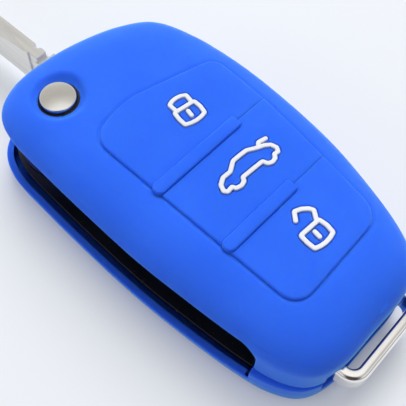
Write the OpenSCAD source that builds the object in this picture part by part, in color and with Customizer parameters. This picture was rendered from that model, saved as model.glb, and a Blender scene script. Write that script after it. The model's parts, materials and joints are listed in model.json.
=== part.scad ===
/* [Cover] */
// Width of the cover's upper half
cover_w = 41.2; // [39:0.2:46]
// Length of the cover without the key loop
cover_l = 75.4; // [73:0.2:82]
// Height of the cover at its flat top
cover_h = 18; // [17.8:0.1:20]
// Thickness of the silicone skin
skin = 1.1; // [0.9:0.05:1.3]
// Gap between the skin and the key case
fit_gap = 0.1; // [0.08:0.01:0.2]
// Height of the parting step round the cover
seam_h = 7; // [6:0.1:8]
// How far the upper half stands out over the lower half at the parting step
seam_step = 0.2; // [0.1:0.05:0.3]
// Height of the domed top above the upright side
crown_h = 5.5; // [5:0.1:6.5]
// Width of the curved band between the side and the flat top
crown_reach = 9; // [7:0.5:10]
// Width of the rounded edge round the underside
foot_w = 2.2; // [1.6:0.1:2.6]
// Height of the rounded edge round the underside
foot_h = 2; // [1.4:0.1:2.4]
// How far the lower half stands out beyond the upper half along the slot
ledge_reach = 1.9; // [1.4:0.1:2.6]
// How far the key case's lower half stands out along the slot
case_rim = 0.45; // [0.3:0.05:0.6]

/* [Panel and symbols] */
// Height of the button panel above the cover's flat top
panel_rise = 0.35; // [0.2:0.05:0.5]
// Thickness of the pressing pads
pad_t = 1; // [0.8:0.05:1.05]
// Gap round each pressing pad
pad_gap = 0.15; // [0.1:0.01:0.25]
// Width of the two raised ribs
rib_w = 2.4; // [1.8:0.1:3]
// Height of the ribs above the cover's flat top
rib_rise = 0.85; // [0.6:0.05:1.2]
// Turn of the ribs out of square with the slot side
rib_turn = -1.5; // [-3:0.5:2]
// Width of the white symbol lines
line_w = 0.8; // [0.6:0.05:1]
// Height of the white lines above the pads
line_rise = 0.25; // [0.1:0.05:0.4]
// Depth of the white lines in the pads
line_sink = 0.4; // [0.2:0.05:0.6]
// Gap beside the white lines
line_gap = 0.15; // [0.06:0.01:0.2]
// Width of a padlock's body
lock_w = 4; // [3.2:0.1:4.6]
// Length of the car
car_w = 11; // [9:0.2:12]
// Turn of the symbols
symbol_turn = -5; // [-8:0.5:0]

/* [Blade and its head] */
// Distance of the turning axis from the cover's front
pivot_from_front = 10.6; // [10:0.1:12]
// Distance of the turning axis from the cover's slot side
pivot_from_side = 12.1; // [11.5:0.1:13]
// Distance of the blade from the turning axis
blade_offset = 5.9; // [5.6:0.1:6.2]
// Thickness of the blade
blade_t = 2.6; // [2:0.1:2.8]
// Gap above and below the blade in its channel
blade_gap = 0.24; // [0.2:0.02:0.6]
// Distance of the blade's tip from the turning axis
blade_reach = 52.6; // [48:0.2:53.4]
// Radius of the turning head
head_r = 8.8; // [8.2:0.1:9]
// Width of the neck that grips the blade
neck_w = 4.4; // [4:0.1:4.8]
// Distance of the neck's end from the turning axis
neck_reach = 10.9; // [10.4:0.1:11.4]
// Depth of the milled groove in the blade's broad faces
groove_depth = 0.6; // [0.3:0.05:0.8]
// Height of the milled groove
groove_h = 3; // [2:0.1:4]
// Radius of the pin through the neck
pin_r = 0.8; // [0.6:0.05:1]

/* [Release button] */
// Radius of the release button
release_r = 3.2; // [2.8:0.05:3.6]
// Height of the release button's top above the cover's flat top
release_rise = 0; // [-0.4:0.1:0.8]
// Travel of the release button
release_travel = 1.5; // [1:0.1:1.6]
// Radius of the hole in the cover over the release button
release_hole_r = 3.65; // [3.4:0.05:4.2]
// Radius of the dish round that hole
dish_r = 6.8; // [5:0.1:7.4]
// Depth of the dish
dish_depth = 0.9; // [0.5:0.05:1]
// Wire thickness of the spring
wire_t = 0.6; // [0.4:0.05:0.65]
// Turns of the spring
spring_turns = 4.5; // [3.5:0.5:4.5]

/* [Key case] */
// Thickness of the key case's walls
case_wall = 1.2; // [1:0.05:1.4]
// Height of the floor under the blade, as a share of the cover's height
channel_floor_share = 0.245; // [0.235:0.005:0.255]
// Width of the key's own buttons
button_w = 9; // [7:0.2:10]
// Length of the key's own buttons
button_l = 7; // [6:0.2:8]
// Travel of the key's own buttons
press_travel = 0.4; // [0.2:0.05:0.4]
// Radius of the screw's shank
screw_r = 0.8; // [0.6:0.05:1]

/* [Key loop] */
// Outer width of the key loop
loop_w = 19.4; // [17:0.2:21]
// Thickness of the loop's bar
loop_t = 2; // [1.6:0.1:2.4]
// Height of the loop's bar
loop_h = 4.5; // [4:0.1:4.6]
// How far the loop stands out behind the cover
loop_reach = 3.6; // [3.2:0.1:6]
// Outer corner radius of the loop
loop_corner_r = 3.4; // [2.8:0.1:4]

/* [Electronics] */
// Thickness of the circuit board
board_t = 0.8; // [0.6:0.1:1]
// Distance of the circuit board's underside below the cover's flat top
board_drop = 6.6; // [6.5:0.05:6.7]
// Radius of the coin cell, as a share of half the cover's width
battery_share = 0.485; // [0.4:0.005:0.485]
// Thickness of the coin cell
battery_t = 3.2; // [2.5:0.1:3.2]
// Width of a push switch
switch_w = 4.6; // [4:0.1:5.4]
// Height of a push switch
switch_h = 1.2; // [1.1:0.05:1.3]

/* [Hidden] */
$fn = 48;

half_w = cover_w / 2;
half_l = cover_l / 2;
// Overrun of cuts past the faces that they open
over = 1;
// Running clearance of round pieces that turn or slide in each other
run_gap = 0.05;
// Clearance of pieces that pass each other
pass_gap = 0.3;

// Plan of the upper half, anticlockwise from the front, as shares of half the width and length
upper_shares = [
    [-0.175, 0.990], [-0.544, 0.984], [-0.803, 0.907], [-0.922, 0.759], [-0.961, 0.531],
    [-0.990, 0.225], [-1.005, -0.080], [-0.985, -0.358], [-0.951, -0.623], [-0.903, -0.809],
    [-0.772, -0.936], [-0.529, -0.992], [-0.146, -1.000], [0.243, -1.000], [0.447, -0.950],
    [0.612, -0.822], [0.762, -0.605], [0.898, -0.332], [0.981, -0.013], [1.010, 0.292],
    [0.966, 0.570], [0.845, 0.769], [0.583, 0.879], [0.218, 0.952]
];
// How far the lower half stands out at each of those points, as shares of the ledge's reach
ledge_shares = [
    0, 0.1, 0.6, 0.95, 1, 1, 0.93, 0.93, 0.8, 0.55, 0.42, 0.25,
    0, 0, 0, 0, 0, 0, 0, 0, 0, 0, 0, 0
];
// Share of the ledge's reach that is left at the underside
ledge_foot_share = 0.8;
// Steps between two points of the plan
plan_steps = 4;
// Steps of the domed top and of the rounded underside
crown_steps = 8;
// Step that the dome of the pressing pads starts at, below their edges
dome_start = 3;
dish_steps = 6;
foot_steps = 3;

// Corners of the button panel as shares of half the width and length, with a corner radius share
panel_shares = [
    [-0.512, 0.432, 0.21], [-0.073, 0.472, 0.68], [0.780, 0.332, 0.11], [0.733, 0.005, 1.6],
    [0.500, -0.727, 0.24], [-0.534, -0.732, 0.16]
];
// Middles of the three buttons as shares of half the width and length
button_shares = [[0.189, 0.225], [0.136, -0.164], [0.034, -0.560]];
// Right ends of the two ribs as a share of half the width
rib_end_shares = [0.400, 0.240];
// Left ends of both ribs as a share of half the width
rib_start_share = -0.545;
// Corner radii of both ends of a rib as shares of its width
rib_start_r_share = 0.49;
rib_end_r_share = 0.22;
// Width of the groove that carries each rib's line on to the panel's edge
groove_w = 2 * pad_gap;

pivot_x = pivot_from_side - half_w;
pivot_y = half_l - pivot_from_front;
case_inset = skin + fit_gap;
room_inset = case_inset + case_wall;
shoulder_h = cover_h - crown_h;
case_floor_h = case_inset + case_wall;
case_split_h = cover_h / 2;
// Floor under the blade and roof over it
channel_floor_h = channel_floor_share * cover_h;
channel_roof_h = cover_h - channel_floor_h;
case_ceiling_h = cover_h - case_inset - case_wall;
case_top_h = cover_h - case_inset;

// Free room for the turning neck and blade, beside the neck and past the blade's tip
neck_gap = 0.4;
tip_gap = 0.8;
slot_end_gap = 0.6;
head_gap = 0.4;
neck_side = blade_offset + neck_w / 2 + neck_gap;
channel_side = blade_offset - neck_w / 2 - neck_gap;
// Height of the blade's middle
blade_mid_h = (channel_floor_h + channel_roof_h) / 2;
blade_h = channel_roof_h - channel_floor_h - 2 * blade_gap;
// Bare tang between the neck's end and the blade's root
root_gap = 1;
root_y = neck_reach + root_gap;
// Height over which the case's lower half draws in to the upper half
rim_step = 0.3;
slot_floor_h = channel_floor_h - pass_gap;
slot_corner_r = 3;

panel_top_h = cover_h + panel_rise;
pad_base_h = panel_top_h - pad_t;

head_base_h = channel_floor_h + pass_gap;
head_top_h = channel_roof_h - pass_gap;
// The neck is lower than the blade above and below
neck_step = 0.3;
tang_step = 1;
tang_start = 3.2;
spigot_r = release_r + pass_gap;
spigot_h = 2.2;
spigot_top_h = channel_floor_h + spigot_h;
flange_side_r = 1;
flange_t = 1;
flange_gap = 0.1;
release_top_h = cover_h + release_rise;
release_base_h = head_top_h - flange_gap - flange_t;
flange_r = release_r + flange_side_r;
stem_r = 1.2;
stem_gap = 0.2;
stem_l = release_base_h - spigot_top_h - release_travel - stem_gap;
release_dome = 0.3;
release_edge = 0.25;
spring_side_gap = 0.4;
spring_r = release_r - wire_t / 2 - spring_side_gap;
spring_seat = 0.03;
spring_rings = 8;
spring_base_h = spigot_top_h + spring_seat + wire_t / 2;
spring_rise = release_base_h - spring_seat - wire_t / 2 - spring_base_h;
// Middle of the wire at a ring of the spring
function spring_at(i) =
    let (a = 360 * i / spring_rings)
    [spring_r * cos(a), spring_r * sin(a),
     spring_base_h + spring_rise * i / (spring_turns * spring_rings)];
echo(least_gap_of_the_spring = min([for (i = [0 : (spring_turns - 1) * spring_rings])
    norm(spring_at(i + spring_rings) - spring_at(i)) - wire_t]));

loop_x = -0.095 * half_w;
loop_back_y = -half_l - loop_reach;
loop_leg_l = 11;
loop_foot_w = 1.2;
loop_foot_l = 2;
loop_top_h = case_split_h - fit_gap;
loop_base_h = loop_top_h - loop_h;
window_side = 1.5;
window_gap = 0.5;
window_top_h = loop_top_h + window_gap;
window_floor_h = loop_base_h - window_gap;

room_gap = 0.3;
room_x0 = pivot_x - channel_side + case_wall + room_gap;
room_y1 = pivot_y - head_r - head_gap - case_wall - room_gap;
board_back_y = -0.745 * half_l;
board_h = cover_h - board_drop;
board_top_h = board_h + board_t;
switch_top_h = board_top_h + switch_h;
plunger_r = 1.1;
plunger_out = 0.55;
plunger_in = 0.65;
plunger_gap = 0.1;
switch_corner_r = 0.3;
plunger_top_h = switch_top_h + plunger_out;
flange_side = 1;
button_flange_t = 0.8;
button_base_h = case_ceiling_h - flange_gap - button_flange_t;
button_corner_r = 1.5;
foot_r = 1;

battery_r = battery_share * half_w;
battery_wall = 0.9;
battery_gap = 0.25;
battery_side_gap = 1.2;
battery_pos = [room_x0 + battery_side_gap + battery_wall + battery_gap + battery_r, -0.11 * half_l];
contact_t = 0.3;
contact_rise = 0.5;
contact_w = 4;
contact_l = 12;
battery_base_h = case_floor_h + contact_t + contact_rise;
battery_top_h = battery_base_h + battery_t;
tray_plate_h = battery_top_h + contact_t + contact_rise;
tray_plate_t = 1;
tray_wall = 1;

chip_w = 5;
chip_t = 1;
chip_pos = [-0.27 * half_w, 0.04 * half_l];
crystal_size = [3.2, 5, 1.2];
crystal_pos = [-0.30 * half_w, -0.24 * half_l];
small_size = [1.6, 0.8, 0.6];
small_count = 5;
small_pitch = 2;
small_start = [-0.42 * half_w, 0.30 * half_l];
transponder_size = [2.5, 10, 5.5];
transponder_gap = 0.65;
transponder_pos = [0.578 * half_w, room_y1 + transponder_gap + transponder_size.y / 2];

screw_pos = [0.36 * half_w, 0.71 * half_l];
screw_head_r = 1.6;
screw_head_t = 1;
screw_gap = 0.1;
screw_boss_r = 2.1;
screw_l = cover_h - 3 * case_floor_h - screw_gap;
screw_slot_w = 0.4;
screw_slot_depth = 0.4;

silicone_blue = [0.13, 0.36, 0.93];
line_white = [0.95, 0.95, 0.97];
case_black = [0.05, 0.05, 0.06];
steel = [0.75, 0.74, 0.70];
chrome = [0.85, 0.85, 0.86];
board_green = [0.10, 0.36, 0.20];
brass = [0.78, 0.66, 0.38];

// Curve through four points of a plan, from the second to the third
function through(a, b, c, d, t) =
    (2 * b + (c - a) * t + (2 * a - 5 * b + 4 * c - d) * t * t
     + (3 * b - a - 3 * c + d) * t * t * t) / 2;

// Closed smooth plan through a list of points
function smooth_plan(points, steps) =
    let (n = len(points))
    [for (i = [0 : n - 1], k = [0 : steps - 1])
        through(points[(i + n - 1) % n], points[i], points[(i + 1) % n],
                points[(i + 2) % n], k / steps)];

upper_plan = smooth_plan([for (s = upper_shares) [s.x * half_w, s.y * half_l]], plan_steps);
// Plan of a lower half that stands out along the slot by a reach
function wider_plan(w, reach) = smooth_plan(
    [for (i = [0 : len(upper_shares) - 1])
        [upper_shares[i].x * w - ledge_shares[i] * reach, upper_shares[i].y * half_l]], plan_steps);
lower_plan = wider_plan(half_w - seam_step, ledge_reach);
foot_plan = wider_plan(half_w - seam_step, ledge_reach * ledge_foot_share);
case_plan = wider_plan(half_w, case_rim);

// A plan drawn in by a wall thickness
function drawn_in(plan, inset) =
    [for (p = plan) [p.x * (1 - inset / half_w), p.y * (1 - inset / half_l)]];
function at_height(plan, z) = [for (p = plan) [p.x, p.y, z]];

// Rings of the rounded underside and of the domed top, drawn in by a wall thickness
function foot_rings(plan, inset) =
    [for (k = [0 : foot_steps])
        let (a = 90 * k / foot_steps)
        at_height(drawn_in(plan, inset + foot_w * (1 - sin(a))),
                  inset + foot_h * (1 - cos(a)))];
function crown_rings(plan, inset) =
    [for (k = [0 : crown_steps])
        let (a = 90 * k / crown_steps)
        at_height(drawn_in(plan, inset + crown_reach * (1 - cos(a))),
                  shoulder_h + (cover_h - inset - shoulder_h) * sin(a))];

// Solid between a stack of rings
module loft(rings) {
    n = len(rings[0]);
    m = len(rings);
    polyhedron(
        points = [for (r = rings) each r],
        faces = concat(
            [[for (i = [0 : n - 1]) i]],
            [[for (i = [n - 1 : -1 : 0]) (m - 1) * n + i]],
            [for (k = [0 : m - 2], i = [0 : n - 1])
                [k * n + i, (k + 1) * n + i, (k + 1) * n + (i + 1) % n]],
            [for (k = [0 : m - 2], i = [0 : n - 1])
                [k * n + i, (k + 1) * n + (i + 1) % n, k * n + (i + 1) % n]]));
}

// The key's pebble shape, drawn in by an inset from the cover's outside
module pebble(inset) {
    loft(concat(
        foot_rings(case_plan, inset),
        [at_height(drawn_in(case_plan, inset), case_split_h - rim_step),
         at_height(drawn_in(upper_plan, inset), case_split_h)],
        crown_rings(upper_plan, inset)));
}

// The cover's outside, with its wider lower half and the parting step
module cover_outside() {
    loft(concat(
        foot_rings(foot_plan, 0),
        [at_height(lower_plan, slot_floor_h), at_height(lower_plan, seam_h - seam_step),
         at_height(upper_plan, seam_h)],
        crown_rings(upper_plan, 0)));
}

// The middle of the upper half's domed top, raised by a height
module dome(raised) {
    rings = crown_rings(upper_plan, 0);
    translate([0, 0, raised]) loft([for (k = [dome_start : crown_steps]) rings[k]]);
}

// Arc that rounds the corner b between the sides to a and to c
function corner_arc(a, b, c, r, steps) =
    let (u = (a - b) / norm(a - b),
         v = (c - b) / norm(c - b),
         half = acos(u * v) / 2,
         middle = b + (u + v) / norm(u + v) * r / sin(half),
         p = b + u * r / tan(half) - middle,
         q = b + v * r / tan(half) - middle,
         start = atan2(p.y, p.x),
         turn = (atan2(q.y, q.x) - start + 540) % 360 - 180)
    [for (k = [0 : steps])
        middle + r * [cos(start + turn * k / steps), sin(start + turn * k / steps)]];

// Outline with rounded corners, from a list of [x, y, radius]
function rounded(corners, steps = 6) =
    let (n = len(corners), flat = [for (c = corners) [c.x, c.y]])
    [for (i = [0 : n - 1])
        each corner_arc(flat[(i + n - 1) % n], flat[i], flat[(i + 1) % n],
                        corners[i].z, steps)];

// Upright block with rounded corners, centred in plan
module rounded_block(w, l, h, r) {
    linear_extrude(h)
        polygon(rounded([[-w / 2, -l / 2, r], [w / 2, -l / 2, r],
                         [w / 2, l / 2, r], [-w / 2, l / 2, r]]));
}

// Everything above a height
module above(z) {
    translate([-cover_l, -cover_l, z]) cube([2 * cover_l, 2 * cover_l, cover_l]);
}

// Everything below a height
module below(z) {
    translate([-cover_l, -cover_l, z - cover_l]) cube([2 * cover_l, 2 * cover_l, cover_l]);
}

// Plan of the room that the head, neck and blade sweep through
module flip_plan(grow, end_gap) {
    far = cover_l;
    side = pivot_x + neck_side + grow;
    inner = pivot_x - channel_side + grow;
    back = pivot_y - blade_reach - end_gap - grow;
    translate([side - far, pivot_y]) square(far);
    translate([inner - far, back]) square([far, pivot_y - back + over]);
    translate([pivot_x, pivot_y]) circle(head_r + head_gap + grow);
}

// The slot through the cover's side and front
module slot() {
    back = pivot_y - blade_reach - tip_gap - slot_end_gap;
    height = channel_roof_h - slot_floor_h;
    difference() {
        translate([0, 0, slot_floor_h]) linear_extrude(height) flip_plan(0, tip_gap + slot_end_gap);
        translate([-cover_w, back - over, channel_roof_h - slot_corner_r])
            cube([cover_w, slot_corner_r + over, slot_corner_r + over]);
    }
    translate([-cover_w, back + slot_corner_r, channel_roof_h - slot_corner_r])
        rotate([0, 90, 0]) cylinder(r = slot_corner_r, h = cover_w + pivot_x - channel_side);
}

// Corners of the button panel in real sizes
panel_corners = [for (s = panel_shares) [s.x * half_w, s.y * half_l, s.z * half_w]];

function button_at(i) = [button_shares[i].x * half_w, button_shares[i].y * half_l];
function rib_y(i) = (button_at(i).y + button_at(i + 1).y) / 2;

// Bar with a round left end and a squarer right end along one rib
module rib_plan(i, w) {
    start = rib_start_share * half_w;
    end = rib_end_shares[i] * half_w;
    translate([(start + end) / 2, rib_y(i)]) rotate(rib_turn) {
        half = (end - start) / 2;
        polygon(rounded([[-half, -w / 2, rib_start_r_share * w], [half, -w / 2, rib_end_r_share * w],
                         [half, w / 2, rib_end_r_share * w], [-half, w / 2, rib_start_r_share * w]]));
    }
}

// Line of one rib, carried on across the whole panel
module rib_line(i, w) {
    start = rib_start_share * half_w;
    end = rib_end_shares[i] * half_w;
    translate([(start + end) / 2, rib_y(i)]) rotate(rib_turn)
        translate([-cover_w, -w / 2]) square([2 * cover_w, w]);
}

// Part of the panel above or below one rib's line
module panel_side(i, front) {
    start = rib_start_share * half_w;
    end = rib_end_shares[i] * half_w;
    translate([(start + end) / 2, rib_y(i)]) rotate(rib_turn)
        translate([-cover_w, front ? 0 : -cover_l]) square([2 * cover_w, cover_l]);
}

// Plan of one pressing pad
module pad_plan(i) {
    difference() {
        intersection() {
            polygon(rounded([for (c = panel_corners) panel_drawn_in(c)]));
            if (i < 2) panel_side(i, true);
            if (i > 0) panel_side(i - 1, false);
        }
        for (k = [0, 1]) {
            rib_plan(k, rib_w + 2 * pad_gap);
            rib_line(k, groove_w);
        }
    }
}

// Panel corner moved in by the gap round the pads
function panel_drawn_in(c) =
    let (middle = [for (k = [0 : 1]) panel_corners[0][k] / 2 + panel_corners[4][k] / 2])
    [c.x - sign(c.x - middle.x) * pad_gap, c.y - sign(c.y - middle.y) * pad_gap, c.z];

// Outline of a line with round joints and ends, drawn through a list of points
function side_of(points, w, side) =
    let (n = len(points) - 1)
    [for (i = [0 : n])
        let (u = points[max(i, 1)] - points[max(i, 1) - 1],
             v = points[min(i + 1, n)] - points[min(i, n - 1)],
             a = side * [-u.y, u.x] / norm(u) + side * [-v.y, v.x] / norm(v))
        points[i] + a * w / (a * a)];
function back_to_front(list) = [for (i = [len(list) - 1 : -1 : 0]) list[i]];
module stroke(points, w) {
    core = w / 8;
    offset(r = (w - core) / 2, $fn = 22)
        polygon(concat(side_of(points, core, 1), back_to_front(side_of(points, core, -1))));
}

// Line of a width round a closed outline
module outline(points, w) {
    difference() {
        offset(r = w / 2, $fn = 22) polygon(points);
        offset(r = -w / 2, $fn = 22) polygon(points);
    }
}

// Padlock body, shackle and keyhole, as shares of the body's width
lock_body_shares = [
    [-0.52, 0.20], [0.52, 0.20], [0.57, -0.18], [0.52, -0.55], [0.27, -0.63], [0, -0.66],
    [-0.27, -0.63], [-0.52, -0.55], [-0.55, -0.18]
];
lock_shackle_shares = [
    [-0.40, 0.24], [-0.44, 0.65], [-0.23, 0.75], [0, 0.78], [0.23, 0.75], [0.44, 0.65], [0.42, 0.24]
];
lock_bar_shares = [[0.01, -0.06], [-0.01, -0.33]];
open_shackle_shares = [
    [0.43, 0.24], [0.68, 0.62], [0.58, 0.80], [0.34, 0.99], [0.06, 1.10], [-0.20, 0.77]
];
// How far the padlocks stand beside the middles of their buttons, as shares of the body's width
lock_shift_shares = [[0.04, 0], [0, 0], [-0.05, -0.09]];
// Further turn of each symbol
symbol_turns = [-5, 0, 0];
// Car seen from the side and its raised boot lid, as shares of the car's length
car_shares = [
    [-0.54, 0.02], [-0.43, 0.09], [-0.28, 0.09], [-0.12, 0.20], [0.15, 0.20], [0.31, 0.12],
    [0.42, 0.08], [0.50, 0.02], [0.53, -0.07], [0.49, -0.14], [0.42, -0.13], [0.38, -0.19],
    [0.30, -0.21], [0.23, -0.18], [0.20, -0.10], [-0.21, -0.10], [-0.24, -0.16], [-0.32, -0.19],
    [-0.41, -0.17], [-0.44, -0.11], [-0.54, -0.13], [-0.58, -0.08]
];
lid_shares = [[0.345, 0.13], [0.39, 0.18], [0.52, 0.155]];

// Plans of the three symbols with a line width
module symbol_plan(i, w) {
    translate(button_at(i) + lock_w * lock_shift_shares[i]) rotate(symbol_turn + symbol_turns[i]) {
        if (i == 0) {
            outline(lock_w * lock_body_shares, w);
            stroke(lock_w * lock_shackle_shares, w);
            stroke(lock_w * lock_bar_shares, w);
        }
        if (i == 1) {
            outline(car_w * car_shares, w);
            stroke(car_w * lid_shares, w);
        }
        if (i == 2) {
            outline(lock_w * lock_body_shares, w);
            stroke(lock_w * open_shackle_shares, w);
            stroke(lock_w * lock_bar_shares, w);
        }
    }
}

module cover_body() color(silicone_blue) {
    difference() {
        cover_outside();
        pebble(skin);
        slot();
        // Hole and dish over the release button
        translate([pivot_x, pivot_y, cover_h - skin - over])
            cylinder(r = release_hole_r, h = 2 * skin + over);
        translate([pivot_x, pivot_y, cover_h]) rotate_extrude() polygon(concat(
            [[0, 0], [0, -dish_depth]],
            [for (k = [0 : dish_steps]) let (s = k / dish_steps)
                [release_hole_r + (dish_r - release_hole_r) * s, -dish_depth * (1 + cos(180 * s)) / 2]]));
        // Windows for the pressing pads, between the ribs
        translate([0, 0, shoulder_h]) linear_extrude(cover_h) difference() {
            polygon(rounded(panel_corners));
            for (k = [0, 1]) rib_plan(k, rib_w);
        }
        // Window for the key loop
        translate([loop_x - loop_w / 2 - window_side, -half_l - over, window_floor_h])
            cube([loop_w + 2 * window_side, over + 3 * skin, window_top_h - window_floor_h]);
    }
    for (k = [0, 1])
        translate([0, 0, cover_h - skin]) linear_extrude(skin + rib_rise) rib_plan(k, rib_w);
}

// One pressing pad, curved like the dome, with the recess for its symbol
module pad(i) color(silicone_blue) {
    difference() {
        intersection() {
            translate([0, 0, shoulder_h]) linear_extrude(cover_h) pad_plan(i);
            dome(panel_rise);
        }
        dome(panel_rise - pad_t);
        translate([0, 0, panel_top_h - line_sink]) linear_extrude(line_sink + over)
            symbol_plan(i, line_w + 2 * line_gap);
    }
}
module lock_pad() pad(0);
module trunk_pad() pad(1);
module unlock_pad() pad(2);

// One white symbol, seated in its recess
module symbol(i) color(line_white) {
    translate([0, 0, panel_top_h - line_sink]) linear_extrude(line_sink + line_rise)
        symbol_plan(i, line_w);
}
module lock_symbol() symbol(0);
module trunk_symbol() symbol(1);
module unlock_symbol() symbol(2);

// Room inside the closed case, beside the blade's channel
module case_room() {
    difference() {
        pebble(room_inset);
        linear_extrude(cover_h) flip_plan(case_wall, tip_gap);
        translate(screw_pos) cylinder(r = screw_boss_r, h = cover_h);
    }
}

// Free space for the head, neck and blade inside the case
module flip_room() {
    translate([0, 0, channel_floor_h]) linear_extrude(channel_roof_h - channel_floor_h)
        flip_plan(0, tip_gap);
}

// Slots in the case's rear wall that the loop's legs lie in
module loop_slots() {
    for (side = [-1, 1])
        translate([loop_x + side * (loop_w - loop_t) / 2, loop_back_y + loop_leg_l / 2,
                   (loop_base_h + loop_top_h) / 2])
            cube([loop_t + 2 * fit_gap, loop_leg_l + 2 * fit_gap, loop_h + 2 * fit_gap], center = true);
}

module upper_case() color(case_black) {
    difference() {
        pebble(case_inset);
        below(case_split_h);
        case_room();
        flip_room();
        for (i = [0 : 2]) translate([each button_at(i), case_ceiling_h - over])
            rounded_block(button_w + pass_gap, button_l + pass_gap, case_wall + 2 * over,
                          button_corner_r + pass_gap / 2);
        translate([pivot_x, pivot_y, channel_roof_h - over])
            cylinder(r = release_r + 2 * run_gap, h = cover_h);
        translate([each screw_pos, 0])
            cylinder(r = screw_r + run_gap, h = case_floor_h + screw_l + pass_gap);
    }
}

module lower_case() color(case_black) {
    difference() {
        pebble(case_inset);
        above(case_split_h);
        case_room();
        flip_room();
        loop_slots();
        translate([each screw_pos, 0]) cylinder(r = screw_head_r + screw_gap, h = case_floor_h);
        translate([each screw_pos, 0]) cylinder(r = screw_r + screw_gap, h = cover_h);
    }
    // Spigot that the head turns on
    translate([pivot_x, pivot_y, channel_floor_h - over]) cylinder(r = spigot_r, h = spigot_h + over);
}

module key_loop() color(chrome) {
    inner_r = loop_corner_r - loop_t;
    front_y = loop_back_y + loop_leg_l;
    side = loop_w / 2;
    translate([loop_x, 0, loop_base_h]) linear_extrude(loop_h) {
        difference() {
            polygon(rounded([[-side, loop_back_y, loop_corner_r], [side, loop_back_y, loop_corner_r],
                             [side, front_y, loop_t / 4], [-side, front_y, loop_t / 4]]));
            polygon(rounded([[loop_t - side, loop_back_y + loop_t, inner_r],
                             [side - loop_t, loop_back_y + loop_t, inner_r],
                             [side - loop_t, front_y + loop_t, inner_r],
                             [loop_t - side, front_y + loop_t, inner_r]]));
        }
        for (s = [-1, 1])
            translate([s * (side - loop_t - loop_foot_w / 2), front_y - loop_foot_l / 2])
                square([loop_foot_w + loop_t / 2, loop_foot_l], center = true);
    }
}

module case_screw() color(steel) {
    head_h = case_floor_h - screw_gap;
    translate([each screw_pos, head_h - screw_head_t]) difference() {
        union() {
            cylinder(r = screw_head_r, h = screw_head_t);
            cylinder(r = screw_r, h = screw_l);
        }
        for (a = [0, 90]) rotate(a)
            cube([1.5 * screw_head_r, screw_slot_w, 2 * screw_slot_depth], center = true);
    }
}

module blade_head() color(steel) {
    tang_h = blade_h - 2 * tang_step;
    difference() {
        union() {
            translate([pivot_x, pivot_y, head_base_h]) cylinder(r = head_r, h = head_top_h - head_base_h);
            translate([pivot_x + blade_offset - neck_w / 2, pivot_y,
                       blade_mid_h - blade_h / 2 + neck_step])
                cube([neck_w, neck_reach, blade_h - 2 * neck_step]);
        }
        translate([pivot_x, pivot_y, 0]) {
            cylinder(r = spigot_r + run_gap, h = spigot_top_h + pass_gap);
            cylinder(r = release_r + run_gap, h = cover_h);
            translate([0, 0, release_base_h - release_travel - 2 * pass_gap])
                cylinder(r = flange_r + 2 * run_gap, h = cover_h);
        }
        // Seat of the blade's tang
        translate([pivot_x + blade_offset, pivot_y + tang_start + neck_reach / 2, blade_mid_h])
            cube([blade_t + 2 * run_gap, neck_reach, tang_h + 2 * run_gap], center = true);
        translate([pivot_x + blade_offset, pivot_y + neck_reach - neck_w / 2, blade_mid_h])
            rotate([0, 90, 0]) cylinder(r = pin_r + run_gap, h = 2 * neck_w, center = true);
    }
}

module blade() color(steel) {
    tang_h = blade_h - 2 * tang_step;
    root_l = 2.6;
    tip_l = 3;
    face_step = 0.2;
    notch_w = 0.6;
    edge = blade_t / 2;
    translate([pivot_x + blade_offset, pivot_y, blade_mid_h]) difference() {
        union() {
            // Tang, root and blade
            translate([0, (tang_start + root_y) / 2 + run_gap, 0])
                cube([blade_t, root_y - tang_start, tang_h], center = true);
            translate([0, 0, -blade_h / 2]) linear_extrude(blade_h)
                polygon([[-edge, root_y], [edge, root_y],
                         [edge, root_y + root_l - notch_w], [edge - notch_w, root_y + root_l],
                         [edge, root_y + root_l + notch_w / 2], [edge, blade_reach - tip_l],
                         [edge / 3, blade_reach], [-edge / 3, blade_reach],
                         [face_step - edge, blade_reach - tip_l],
                         [face_step - edge, root_y + root_l], [-edge, root_y + root_l]]);
        }
        // Grooves in both broad faces
        for (side = [-1, 1])
            translate([side * edge, root_y + 2 * root_l + blade_reach / 2, 0])
                cube([2 * groove_depth, blade_reach, groove_h], center = true);
        // Slanted lower and upper corners at the tip
        for (side = [-1, 1])
            translate([0, blade_reach, side * blade_h / 2]) rotate([45, 0, 0])
                cube([blade_t + over, tip_l, tip_l], center = true);
        translate([0, neck_reach - neck_w / 2, 0])
            rotate([0, 90, 0]) cylinder(r = pin_r + run_gap, h = neck_w, center = true);
    }
}

module blade_pin() color(steel) {
    translate([pivot_x + blade_offset, pivot_y + neck_reach - neck_w / 2, blade_mid_h])
        rotate([0, 90, 0]) cylinder(r = pin_r, h = neck_w, center = true);
}

// Round button, domed, with its flange under the case's roof and its guide stem
module release_button() color(chrome) {
    top = release_top_h - release_dome;
    dome_steps = 6;
    edge_steps = 4;
    translate([pivot_x, pivot_y, 0]) rotate_extrude() polygon(concat(
        [[0, release_base_h - stem_l], [stem_r, release_base_h - stem_l], [stem_r, release_base_h],
         [flange_r, release_base_h], [flange_r, release_base_h + flange_t],
         [release_r, release_base_h + flange_t]],
        [for (k = [0 : edge_steps]) let (a = 90 * k / edge_steps)
            [release_r - release_edge * (1 - cos(a)), top - release_edge * (1 - sin(a))]],
        [for (k = [1 : dome_steps]) let (r = (release_r - release_edge) * (1 - k / dome_steps))
            [r, top + release_dome * (1 - pow(r / (release_r - release_edge), 2))]]));
}

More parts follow.
